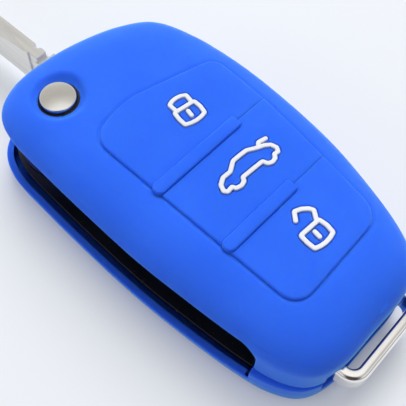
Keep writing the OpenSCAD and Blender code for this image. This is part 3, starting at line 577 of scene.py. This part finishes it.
# The two ribs, full round at their left ends, with small rounds along their tops.
rib_r, rib_wall, rib_crown = 0.34, 1.4, 0.04
rib_levels = (0, 0.03, 0.09, 0.18, 0.33)
for k in (0, 1):
    mid_y = (button_at[k].y + button_at[k + 1].y) / 2
    box = (rib_ends[k][0] - 0.6, mid_y - 2.2, rib_ends[k][1] + 0.6, mid_y + 2.2)
    lines = level_lines(lambda x, y: in_rib(k, x, y)[0], rib_levels, box, 0.19)
    loose = spread(box, 0.5, lambda x, y: in_rib(k, x, y)[0] > 0.5)
    flat, faces = triangles(lines, loose, lambda x, y: in_rib(k, x, y)[0] > 0)
    first = len(skin_points)
    for p in flat:
        e = levelled(in_rib(k, p.x, p.y)[0], rib_levels)
        if e < on_rim:
            walls[len(skin_points)] = (0, 0, -rib_wall)
        z = dome_h(p.x, p.y) + rib_rise - rounding(max(e, 0), rib_r)
        skin_points.append((p.x, p.y, z - rib_crown * (1 - min(2 * e / rib_w, 1))))
    skin_faces += [tuple(i + first for i in face) for face in faces]
cover = as_mesh("silicone_cover", skin_points, skin_faces, walls)


def new_finish(name, metal=0.0):
    finish = bpy.data.materials.new(name)
    finish.use_nodes = True
    shader = finish.node_tree.nodes["Principled BSDF"]
    shader.inputs["Metallic"].default_value = metal
    return finish, shader


def pattern(finish, scale, stretch=(1, 1, 1), detail=3):
    nodes, links = finish.node_tree.nodes, finish.node_tree.links
    place = nodes.new("ShaderNodeTexCoord")
    turned = nodes.new("ShaderNodeMapping")
    turned.inputs["Scale"].default_value = stretch
    noise = nodes.new("ShaderNodeTexNoise")
    noise.inputs["Scale"].default_value = scale
    noise.inputs["Detail"].default_value = detail
    links.new(place.outputs["Object"], turned.inputs["Vector"])
    links.new(turned.outputs["Vector"], noise.inputs["Vector"])
    return noise.outputs["Fac"]


def colour_by(finish, shader, fac, low, high, start=0.35, end=0.65):
    ramp = finish.node_tree.nodes.new("ShaderNodeValToRGB")
    ramp_stops(ramp, (start, low), (end, high))
    finish.node_tree.links.new(fac, ramp.inputs["Fac"])
    finish.node_tree.links.new(ramp.outputs["Color"], shader.inputs["Base Color"])


def roughness_by(finish, shader, fac, low, high):
    span = finish.node_tree.nodes.new("ShaderNodeMapRange")
    span.inputs["From Min"].default_value, span.inputs["From Max"].default_value = 0.3, 0.7
    span.inputs["To Min"].default_value, span.inputs["To Max"].default_value = low, high
    shader.inputs["Roughness"].default_value = (low + high) / 2
    finish.node_tree.links.new(fac, span.inputs["Value"])
    finish.node_tree.links.new(span.outputs["Result"], shader.inputs["Roughness"])


def grain_by(finish, shader, fac, depth, strength):
    bump = finish.node_tree.nodes.new("ShaderNodeBump")
    bump.inputs["Strength"].default_value = strength
    bump.inputs["Distance"].default_value = depth
    finish.node_tree.links.new(fac, bump.inputs["Height"])
    finish.node_tree.links.new(bump.outputs["Normal"], shader.inputs["Normal"])


# A finish from its two tones, its two roughnesses and its relief, each with the scale, the stretch
# and the detail of the pattern that it follows.
def worked_finish(name, metal, tones, tone_grain, roughs, rough_grain, relief=None):
    finish, shader = new_finish(name, metal)
    colour_by(finish, shader, pattern(finish, *tone_grain), *tones)
    roughness_by(finish, shader, pattern(finish, *rough_grain), *roughs)
    if relief:
        grain, depth, strength = relief
        grain_by(finish, shader, pattern(finish, *grain), depth, strength)
    return finish, shader


def moulded_silicone(name, deep, light):
    finish, shader = worked_finish(name, 0, (deep, light), (70,), (0.58, 0.68), (420,),
                                   ((5200, (1, 1, 1), 2), 0.000010, 0.4))
    shader.inputs["IOR"].default_value = 1.42
    shader.inputs["Specular IOR Level"].default_value = 0.3
    shader.inputs["Sheen Weight"].default_value = 0.9
    shader.inputs["Sheen Roughness"].default_value = 0.26
    shader.inputs["Sheen Tint"].default_value = (0.34, 0.80, 1.0, 1)
    return finish


def shown(piece, body, slot, finish, *nodes):
    piece.data.materials.clear()
    piece.data.materials.append(finish)
    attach(piece, body)
    if nodes:
        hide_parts(*nodes)
    bpy.ops.object.select_all(action="DESELECT")
    return piece


blue_silicone = moulded_silicone("blue_silicone", (0.026, 0.142, 0.800), (0.031, 0.156, 0.840))
blue_shader = blue_silicone.node_tree.nodes["Principled BSDF"]
blue_shader.inputs["Subsurface Weight"].default_value = 0.8
blue_shader.inputs["Subsurface Radius"].default_value = (0.10, 0.22, 1.0)
blue_shader.inputs["Subsurface Scale"].default_value = 0.0011
shown(cover, "key_body", "blue_silicone", blue_silicone, "cover_body")

# The white line drawings: beads of white silicone poured into recesses of the pads, a closed
# padlock, a car with its boot open and an open padlock. First their middle lines, on which both
# the beads and the recesses are formed.
line_w, bead_rise, lock_w, car_w, dot_step, box_margin = 0.78, 0.17, 4.0, 11.0, 0.03, 1.1
lock_body = ((-0.52, 0.20), (0.52, 0.20), (0.57, -0.18), (0.52, -0.55), (0.27, -0.63), (0, -0.66),
             (-0.27, -0.63), (-0.52, -0.55), (-0.55, -0.18))
lock_shackle = ((-0.40, 0.24), (-0.44, 0.65), (-0.23, 0.75), (0, 0.78), (0.23, 0.75), (0.44, 0.65),
                (0.42, 0.24))
lock_bar = ((0.01, -0.06), (-0.01, -0.33))
open_shackle = ((0.43, 0.24), (0.68, 0.62), (0.58, 0.80), (0.34, 0.99), (0.06, 1.10), (-0.20, 0.77))
car_body = ((-0.54, 0.02), (-0.43, 0.09), (-0.28, 0.09), (-0.12, 0.20), (0.15, 0.20), (0.31, 0.12),
            (0.42, 0.08), (0.50, 0.02), (0.53, -0.07), (0.49, -0.14), (0.42, -0.13), (0.38, -0.19),
            (0.30, -0.21), (0.23, -0.18), (0.20, -0.10), (-0.21, -0.10), (-0.24, -0.16), (-0.32, -0.19),
            (-0.41, -0.17), (-0.44, -0.11), (-0.54, -0.13), (-0.58, -0.08))
boot_lid = ((0.345, 0.13), (0.39, 0.18), (0.52, 0.155))
drawings = (
    (lock_w, (0.04, 0), -10, ((lock_body, True), (lock_shackle, False), (lock_bar, False))),
    (car_w, (0, 0), -5, ((car_body, True), (boot_lid, False))),
    (lock_w, (-0.05, -0.09), -5, ((lock_body, True), (open_shackle, False), (lock_bar, False))))


# A stroke with its corners cut off, by these two shares of its sides in turn.
def drawn_line(points, closed):
    line = [Vector(p) for p in points]
    for cut in (0.078125, 0.15625):
        ends = [] if closed else [line[0]]
        for a, b in sides(line, closed):
            ends += [a.lerp(b, cut), a.lerp(b, 1 - cut)]
        line = ends + ([] if closed else [line[-1]])
    return line


def drawing_tree(k):
    size, shift, turn, strokes = drawings[k]
    turned = Matrix.Rotation(math.radians(turn), 2)
    dots = []
    for points, closed in strokes:
        middle = button_at[k] + Vector(shift) * lock_w
        line = [middle + turned @ (p * size) for p in drawn_line(points, closed)]
        for a, b in sides(line, closed):
            n = max(int((b - a).length / dot_step), 1)
            dots += [a.lerp(b, i / n) for i in range(n + 1)]
    tree = kdtree.KDTree(len(dots))
    for i, dot in enumerate(dots):
        tree.insert(dot.to_3d(), i)
    tree.balance()
    xs, ys = [d.x for d in dots], [d.y for d in dots]
    low = (min(xs) - box_margin, min(ys) - box_margin)
    high = (max(xs) + box_margin, max(ys) + box_margin)
    return tree, dots, low + high


trees = [drawing_tree(k) for k in range(3)]


def off_line(k, x, y):
    box = trees[k][2]
    if not (box[0] < x < box[2] and box[1] < y < box[3]):
        return 9.0
    return trees[k][0].find((x, y, 0))[2]


panel_rise, bead_drop, bead_wall = 0.35, 0.15, 0.35
bead_levels = (0, 0.02, 0.07, 0.15, 0.26)
white_silicone = moulded_silicone("white_silicone", (0.72, 0.735, 0.765), (0.77, 0.78, 0.805))
for k, key in enumerate(("lock", "trunk", "unlock")):
    tree, dots, box = trees[k]
    half = line_w / 2
    lines = level_lines(lambda x, y: half - tree.find((x, y, 0))[2], bead_levels, box, 0.09)
    loose = [tuple(d) for d in dots[::6]]
    flat, faces = triangles(lines, loose, lambda x, y: tree.find((x, y, 0))[2] < half)
    bead, walls = [], {}
    for p in flat:
        e = levelled(half - tree.find((p.x, p.y, 0))[2], bead_levels)
        if e < on_rim:
            walls[len(bead)] = (0, 0, -bead_wall)
        round_off = 1 - math.sqrt(max(1 - (1 - max(e, 0) / half) ** 5, 0))
        bead.append((p.x, p.y, dome_h(p.x, p.y) + panel_rise + bead_rise - bead_drop * round_off))
    white_line = as_mesh(key + "_white_line", bead, faces, walls)
    shown(white_line, key + "_key", "white_silicone", white_silicone, key + "_symbol")

# The three pressing pads: thin plates of the same blue silicone that fill the panel between the
# ribs. Each is hinged to the skin by its own softness and has a recess round its white drawing.
pad_gap, pad_r, pad_t, recess_depth, recess_reach, recess_slope = -0.10, 0.42, 1.0, 0.4, 0.69, 0.18
pad_levels, recess_levels = (0, 0.03, 0.08, 0.15, 0.27, pad_r), (0.41, 0.51, 0.56, 0.61, recess_reach)
pad_spans, pad_blend = ((-0.3, 18.6), (-15, 2.6), (-28.4, -12.2)), 0.35


def in_pad(k, x, y):
    e = inside_by(panel_line, x, y) - pad_gap
    if e < -0.5:
        return e
    for m in (0, 1):
        if k in (m, m + 1):
            off_rib, across = in_rib(m, x, y)
            e = blunt_min(e, -off_rib - pad_gap, pad_blend)
            e = blunt_min(e, (across if k == m else -across) - pad_gap, pad_blend)
    return e


for k, key in enumerate(("lock", "trunk", "unlock")):
    box = (-11.4, pad_spans[k][0], 16.9, pad_spans[k][1])
    lines = level_lines(lambda x, y: in_pad(k, x, y), pad_levels, box, 0.27)
    lines += level_lines(lambda x, y: off_line(k, x, y), recess_levels, trees[k][2], 0.12)
    loose = spread(box, 0.55, lambda x, y: in_pad(k, x, y) > 0.7 and off_line(k, x, y) > 0.78)
    flat, faces = triangles(lines, loose, lambda x, y: in_pad(k, x, y) > 0)
    points, walls = [], {}
    for p in flat:
        e = levelled(in_pad(k, p.x, p.y), pad_levels)
        off = levelled(off_line(k, p.x, p.y), recess_levels)
        if e < on_rim:
            walls[len(points)] = (0, 0, -pad_t + pad_r)
        sunk = min(max((recess_reach - off) / recess_slope, 0), 1)
        points.append((p.x, p.y, dome_h(p.x, p.y) + panel_rise - rounding(max(e, 0), pad_r)
                       - recess_depth * sunk * sunk * (3 - 2 * sunk)))
    pad = as_mesh(key + "_pressing_pad", points, faces, walls)
    shown(pad, key + "_key", "blue_silicone", blue_silicone, key + "_pad")


# A piece that starts as a copy of its node.
def copy_of(node, name):
    bpy.ops.object.select_all(action="DESELECT")
    source = frame["nodes"][node]
    source.select_set(True)
    bpy.context.view_layer.objects.active = source
    bpy.ops.object.duplicate()
    piece = bpy.context.active_object
    piece.parent = None
    piece.name = piece.data.name = name
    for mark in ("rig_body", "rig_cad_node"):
        del piece[mark]
    piece.data.materials.clear()
    bpy.ops.mesh.customdata_custom_splitnormals_clear()
    bpy.ops.object.mode_set(mode="EDIT")
    bpy.ops.mesh.select_all(action="SELECT")
    bpy.ops.mesh.remove_doubles(threshold=0.000002)
    bpy.ops.mesh.dissolve_limited(angle_limit=math.radians(0.4))
    bpy.ops.object.mode_set(mode="OBJECT")
    return piece


def weigh_normals(piece):
    bpy.ops.object.modifier_add(type="WEIGHTED_NORMAL")
    piece.modifiers[-1].keep_sharp = True
    bpy.ops.object.modifier_apply(modifier=piece.modifiers[-1].name)


def soften(piece, width, steps):
    bpy.context.view_layer.objects.active = piece
    bpy.ops.object.modifier_add(type="BEVEL")
    bevel = piece.modifiers[-1]
    bevel.width, bevel.segments = width, steps
    bevel.angle_limit = math.radians(28)
    bpy.ops.object.modifier_apply(modifier=bevel.name)
    bpy.ops.object.shade_smooth_by_angle(angle=math.radians(40))
    weigh_normals(piece)
    return piece


def softened(node, name, body, slot, finish, width, steps):
    shown(soften(copy_of(node, name), width, steps), body, slot, finish, node)


def rounded_edges(finish, shader, radius):
    edge = finish.node_tree.nodes.new("ShaderNodeBevel")
    edge.samples = 6
    edge.inputs["Radius"].default_value = radius
    joined = [link.from_node for link in shader.inputs["Normal"].links]
    into = joined[0] if joined else shader
    finish.node_tree.links.new(edge.outputs["Normal"], into.inputs["Normal"])


# The key's case: two halves of black plastic that meet at the middle height, smooth and glossy
# where the slot shows them. The screw at the front and two clips hold them together.
black_plastic, black_shader = worked_finish(
    "black_plastic", 0, ((0.005, 0.006, 0.010), (0.009, 0.010, 0.015)), (90,), (0.16, 0.28), (900,),
    ((3800,), 0.000006, 0.4))
rounded_edges(black_plastic, black_shader, 0.0002)
for half in ("upper_case", "lower_case"):
    shell = copy_of(half, half + "_half")
    bpy.ops.object.shade_smooth_by_angle(angle=math.radians(30))
    shown(shell, "key_body", "black_plastic", black_plastic, half)

# The key loop: one bright bar bent to a flat hook shape, cast in zinc, polished and plated.
# Its legs lie in slots of the lower case half, and a foot on each leg keeps it from pulling out.
bright_chrome, chrome_shader = worked_finish(
    "bright_chrome", 1, ((0.90, 0.88, 0.85), (0.96, 0.94, 0.91)), (160,), (0.10, 0.16), (300,))
rounded_edges(bright_chrome, chrome_shader, 0.0002)
loop_back_y, loop_r, loop_w, loop_t, loop_leg, loop_z = -41.3, 3.4, 19.4, 2.0, 11.0, (4.4, 8.9)
loop_foot, foot_in, foot_bevel = (0.0022, 0.0018, 0.0041), 0.6, 0.0003
loop_path, loop_way = [], []
for side, corner in ((-1, math.pi), (1, 1.5 * math.pi)):
    if side < 0:
        loop_path.append(Vector((loop_window_x - loop_w / 2, loop_back_y + loop_leg)))
        loop_way.append(Vector((-1, 0)))
    for k in range(17):
        a = corner + math.pi / 2 * k / 16
        loop_way.append(Vector((math.cos(a), math.sin(a))))
        bend_at = Vector((loop_window_x + side * (loop_w / 2 - loop_r), loop_back_y + loop_r))
        loop_path.append(bend_at + loop_r * loop_way[-1])
    if side > 0:
        loop_path.append(Vector((loop_window_x + loop_w / 2, loop_back_y + loop_leg)))
        loop_way.append(Vector((1, 0)))
loop_profile = []
for across, up, r in ((0, 1, 1.05), (-1, 1, 0.45), (-1, 0, 0.35), (0, 0, 0.8)):
    mid = Vector((across * loop_t + (r if across else -r), loop_z[up] - r if up else loop_z[0] + r))
    turn = {(0, 1): 0, (-1, 1): 0.5, (-1, 0): 1, (0, 0): 1.5}[(across, up)] * math.pi
    loop_profile += [mid + r * Vector((math.cos(a), math.sin(a)))
                     for a in (turn + math.pi / 2 * k / 8 for k in range(9))]
n = len(loop_profile)
loop_points = [(*(p + w * q.x), q.y) for p, w in zip(loop_path, loop_way) for q in loop_profile]
loop_faces = [(i * n + s, (i + 1) * n + s, (i + 1) * n + (s + 1) % n, i * n + (s + 1) % n)
              for i in range(len(loop_path) - 1) for s in range(n)]
loop_faces += [tuple(range(n)), tuple(range(len(loop_points) - 1, len(loop_points) - n - 1, -1))]
loop = as_mesh("key_loop_bar", loop_points, loop_faces, {})
for side in (-1, 1):
    foot_x = loop_window_x + side * (loop_w / 2 - loop_t - foot_in)
    bpy.ops.mesh.primitive_cube_add(size=1, location=Vector((foot_x, loop_back_y + loop_leg - 1,
                                                             sum(loop_z) / 2)) / 1000)
    foot = bpy.context.active_object
    foot.scale = loop_foot
    bpy.ops.object.transform_apply(location=True, rotation=True, scale=True)
    soften(foot, foot_bevel, 3)
    loop.select_set(True)
    bpy.context.view_layer.objects.active = loop
    bpy.ops.object.join()
weigh_normals(loop)
shown(loop, "key_body", "bright_chrome", bright_chrome, "key_loop")

# The turning head: a round hub with a neck that grips the blade, cast in zinc and finished smooth.
# The hub's colour holds a painted navy reflection of the blue cover, as it shows in the slot, and the
# neck is plain metal.
head_metal, head_shader = new_finish("head_metal", 0.6)
head_place = head_metal.node_tree.nodes.new("ShaderNodeTexCoord")
head_along = head_metal.node_tree.nodes.new("ShaderNodeSeparateXYZ")
head_metal.node_tree.links.new(head_place.outputs["Object"], head_along.inputs[0])
head_painted_reflection_share = head_metal.node_tree.nodes.new("ShaderNodeMapRange")
head_painted_reflection_share.inputs["From Min"].default_value, head_painted_reflection_share.inputs["From Max"].default_value = 0.0335, 0.0355
head_metal.node_tree.links.new(head_along.outputs["Y"], head_painted_reflection_share.inputs["Value"])
# Painted reflection: below the neck the base colour is navy, standing in for the blue cover mirrored in
# the hub.
colour_by(head_metal, head_shader, head_painted_reflection_share.outputs["Result"], (0.03, 0.055, 0.34),
          (0.74, 0.74, 0.76), 0, 1)
roughness_by(head_metal, head_shader, pattern(head_metal, 1500), 0.14, 0.26)
grain_by(head_metal, head_shader, pattern(head_metal, 6000), 0.000006, 0.4)
softened("blade_head", "turning_head", "blade_unit", "head_metal", head_metal, 0.00025, 3)

# The blade: a blank of nickel-plated brass with a milled groove in each broad face and its upper
# left corner cut slanting. Behind a small step and a notch its root goes into the neck, where a tang
# and a round steel pin hold it.
blade_steel, blade_shader = worked_finish(
    "blade_steel", 1, ((0.84, 0.825, 0.785), (0.92, 0.905, 0.87)), (1400, (1, 0.04, 1)),
    (0.40, 0.52), (2600, (1, 0.03, 1)), ((7000, (1, 0.02, 1)), 0.000004, 0.5))
rounded_edges(blade_steel, blade_shader, 0.00012)
blade_low, blade_high, blade_left, blade_right, root_left = 4.65, 13.35, -3.9, -1.3, -3.62
groove_low, groove_high, groove, no_groove = 7.5, 10.5, 0.6, 0.01
square, slanted, slant_from, slant_length, slant_steps = (0.12, 0.15), (2.12, 1.45), 41.95, 7.8, 8
root_corner, notch_start, notch_floor, tip_from, blade_end = (0.12, 0.12), -2.15, -2.2, 76.7, 79.7
tip = ((-3.0, 7.65), (-2.2, 7.65), (-2.2, 8.2), (-2.3, 8.2), (-2.3, 9.8), (-2.2, 9.8), (-2.2, 10.35),
       (-2.5, 10.35), (-3.0, 10.0))


def blade_section(y, left, right, corner, groove, trim=0.0):
    low, high, inner = blade_low + trim, blade_high - trim, right - trim - groove
    outer = right - trim
    return [(left + trim, y, low), (outer, y, low), (outer, y, groove_low), (inner, y, groove_low),
            (inner, y, groove_high), (outer, y, groove_high), (outer, y, high),
            (left + trim + corner[0], y, high), (left + trim, y, high - corner[1])]


stations = [blade_section(y, left, right, root_corner, no_groove, trim) for y, left, right, trim in (
    (39.0, root_left, blade_right, 0.2), (39.2, root_left, blade_right, 0),
    (40.4, root_left, blade_right, 0), (41.1, root_left, notch_start, 0), (41.4, -3.50, notch_floor, 0),
    (41.42, blade_left, notch_floor, 0), (41.9, blade_left, blade_right, 0))]
for k in range(slant_steps + 1):
    cut = [a + (b - a) * k / slant_steps for a, b in zip(square, slanted)]
    y = slant_from + slant_length * k / slant_steps
    stations.append(blade_section(y, blade_left, blade_right, cut, no_groove if k < 3 else groove))
stations += [blade_section(tip_from, blade_left, blade_right, slanted, groove)]
stations += [[(x, blade_end, z) for x, z in tip]]
tang_low, tang_high, tang_ends = 5.65, 12.35, (30.3, 39.4)
tang = [[(blade_left, y, tang_low), (blade_right, y, tang_low),
         (blade_right, y, tang_high), (blade_left, y, tang_high)] for y in tang_ends]
blade_points = [p for station in stations for p in station] + [p for end in tang for p in end]
blade_faces = tube_faces(len(tip), len(stations)) + tube_faces(4, 2, len(tip) * len(stations))
blade = as_mesh("key_blade", blade_points, blade_faces, {})


def face_outwards():
    bpy.ops.object.mode_set(mode="EDIT")
    bpy.ops.mesh.select_all(action="SELECT")
    bpy.ops.mesh.normals_make_consistent(inside=False)
    bpy.ops.object.mode_set(mode="OBJECT")


face_outwards()
bpy.ops.object.shade_smooth_by_angle(angle=math.radians(12))
shown(blade, "blade_unit", "blade_steel", blade_steel, "blade")
softened("blade_pin", "blade_holding_pin", "blade_unit", "steel", blade_steel, 0.0001, 2)

# The release button: a turned and plated round button with a slightly domed face and a fine
# bright rim. The coil spring of hard wire under it pushes it up against the case's roof.
satin_chrome, _ = worked_finish(
    "satin_chrome", 1, ((0.78, 0.765, 0.72), (0.84, 0.825, 0.78)), (200,), (0.13, 0.17), (260,))
knob_r, knob_stem_r, knob_flange_r, knob_rim = 3.2, 1.2, 4.2, 0.25
knob_foot_z, flange_low, flange_high, rim_z = 9.7, 12.19, 13.19, 17.45
face_r, face_z, face_rise, knob_facets = 2.93, 17.71, 0.28, 96
knob_line = [(0, knob_foot_z), (knob_stem_r, knob_foot_z), (knob_stem_r, flange_low),
             (knob_flange_r, flange_low), (knob_flange_r, flange_high), (knob_r, flange_high),
             (knob_r, rim_z)]
knob_line += [(knob_r - knob_rim * (1 - math.cos(a)), rim_z + knob_rim * math.sin(a))
              for a in (math.radians(15 * k) for k in range(1, 6))]
knob_line += [(face_r * (1 - k / 10), face_z + face_rise * (1 - (1 - k / 10) ** 2)) for k in range(11)]
knob, knob_faces = [], []
for k in range(knob_facets):
    a = 2 * math.pi * k / knob_facets
    knob += [(release_at.x + r * math.cos(a), release_at.y + r * math.sin(a), z) for r, z in knob_line]
    low, high = k * len(knob_line), (k + 1) % knob_facets * len(knob_line)
    knob_faces += [(low + m, high + m, high + m + 1, low + m + 1) for m in range(len(knob_line) - 1)]
release = as_mesh("release_knob", knob, knob_faces, {})
shown(release, "release", "satin_chrome", satin_chrome, "release_button")

spring_r, wire_r, spring_low, spring_rise, spring_turns = 2.5, 0.3, 6.94, 4.92, 4.5
coil, coil_steps, wire_sides = [], 108, 10
for i in range(coil_steps + 1):
    a = 2 * math.pi * spring_turns * i / coil_steps
    mid = Vector((release_at.x + spring_r * math.cos(a), release_at.y + spring_r * math.sin(a),
                  spring_low + spring_rise * i / coil_steps))
    out, up = Vector((math.cos(a), math.sin(a), 0)), Vector((0, 0, 1))
    coil += [mid + wire_r * (out * math.cos(b) + up * math.sin(b))
             for b in (2 * math.pi * s / wire_sides for s in range(wire_sides))]
spring = as_mesh("coil_spring", coil, tube_faces(wire_sides, coil_steps + 1), {})
face_outwards()
spring_steel, _ = worked_finish(
    "spring_steel", 1, ((0.42, 0.42, 0.43), (0.56, 0.56, 0.57)), (800,), (0.28, 0.45), (3000,))
shown(spring, "blade_unit", "steel", spring_steel, "release_spring")
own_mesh(spring)

# The case screw: a small cross-slotted steel screw, driven up from below through both halves.
softened("case_screw", "cross_slot_screw", "key_body", "steel", spring_steel, 0.00012, 2)

# The key's own three buttons: soft black rubber caps moulded with a flange that the case holds,
# and a foot that meets the switch below.
button_rubber, _ = worked_finish(
    "button_rubber", 0, ((0.018, 0.018, 0.022), (0.034, 0.034, 0.040)), (220,), (0.52, 0.70), (1400,),
    ((6500,), 0.000012, 0.6))
for key in ("lock", "trunk", "unlock"):
    softened(key + "_button", key + "_rubber_cap", key + "_key", "button_rubber", button_rubber,
             0.0003, 3)

# The plungers of the push switches: turned pegs of dark nylon that the rubber caps press on.
peg_nylon, _ = worked_finish(
    "peg_nylon", 0, ((0.09, 0.09, 0.10), (0.13, 0.13, 0.14)), (900,), (0.42, 0.58), (2600,))
for key in ("lock", "trunk", "unlock"):
    softened(key + "_plunger", key + "_switch_peg", key + "_key", "switch_plastic", peg_nylon,
             0.00015, 3)

# The push switches: square pressed-metal cans soldered on the board, with a round well for the
# plunger and four feet folded out at the corners.
switch_metal, _ = worked_finish(
    "switch_metal", 1, ((0.58, 0.59, 0.60), (0.70, 0.71, 0.72)), (700, (1, 0.15, 1)),
    (0.26, 0.44), (2200, (1, 0.1, 1)))
for key in ("lock", "trunk", "unlock"):
    softened(key + "_switch", key + "_switch_can", "key_body", "switch_metal", switch_metal,
             0.00015, 3)

# The circuit board: glass-fibre laminate under green solder resist, with copper tracks that
# show through as a slightly raised, lighter net.
board_resist, resist_shader = new_finish("board_resist")
track_place = board_resist.node_tree.nodes.new("ShaderNodeTexCoord")
track_net = board_resist.node_tree.nodes.new("ShaderNodeTexVoronoi")
track_net.feature = "DISTANCE_TO_EDGE"
track_net.inputs["Scale"].default_value = 420
board_resist.node_tree.links.new(track_place.outputs["Object"], track_net.inputs["Vector"])
colour_by(board_resist, resist_shader, track_net.outputs["Distance"], (0.055, 0.26, 0.13),
          (0.012, 0.105, 0.052), 0.05, 0.08)
roughness_by(board_resist, resist_shader, pattern(board_resist, 1500), 0.28, 0.42)
grain_by(board_resist, resist_shader, pattern(board_resist, 2500), 0.00001, 0.4)
softened("circuit_board", "green_circuit_board", "key_body", "board", board_resist, 0.0001, 2)

# The module tray: one moulding of dark grey plastic that holds the cell and carries the board.
tray_plastic, _ = worked_finish(
    "tray_plastic", 0, ((0.045, 0.045, 0.050), (0.070, 0.070, 0.076)), (260,), (0.44, 0.60), (1600,),
    ((4200,), 0.000018, 0.6))
softened("module_tray", "grey_module_tray", "key_body", "tray_plastic", tray_plastic, 0.0002, 2)

# The coin cell: a flat can of stainless steel, pressed in two halves with a rolled edge.
cell_steel, _ = worked_finish(
    "cell_steel", 1, ((0.62, 0.62, 0.62), (0.74, 0.74, 0.73)), (500, (1, 0.2, 1)),
    (0.22, 0.40), (2400, (1, 0.06, 1)))
softened("battery", "steel_coin_cell", "key_body", "cell_steel", cell_steel, 0.00035, 4)

# The two cell contacts and the board's small parts: strips of sprung brass, pressed and bent,
# and small blocks with tinned ends.
contact_brass, _ = worked_finish(
    "contact_brass", 1, ((0.62, 0.47, 0.20), (0.74, 0.58, 0.28)), (600, (1, 0.2, 1)),
    (0.24, 0.42), (2400,))
for node, name in (("battery_top_contact", "upper_cell_spring"),
                   ("battery_base_contact", "lower_cell_spring"),
                   ("small_components", "small_board_parts")):
    softened(node, name, "key_body", "contact_brass", contact_brass, 0.00006, 2)

# The radio chip and the transponder: parts moulded in matt black resin. The crystal is a small
# welded metal can beside the chip.
chip_resin, _ = worked_finish(
    "chip_resin", 0, ((0.014, 0.014, 0.016), (0.026, 0.026, 0.029)), (700,), (0.46, 0.62), (2600,),
    ((5200,), 0.00001, 0.6))
for node, name in (("radio_chip", "black_radio_chip"), ("transponder", "black_transponder")):
    softened(node, name, "key_body", "chip_plastic", chip_resin, 0.00012, 2)
softened("crystal", "crystal_can", "key_body", "switch_metal", switch_metal, 0.00025, 3)
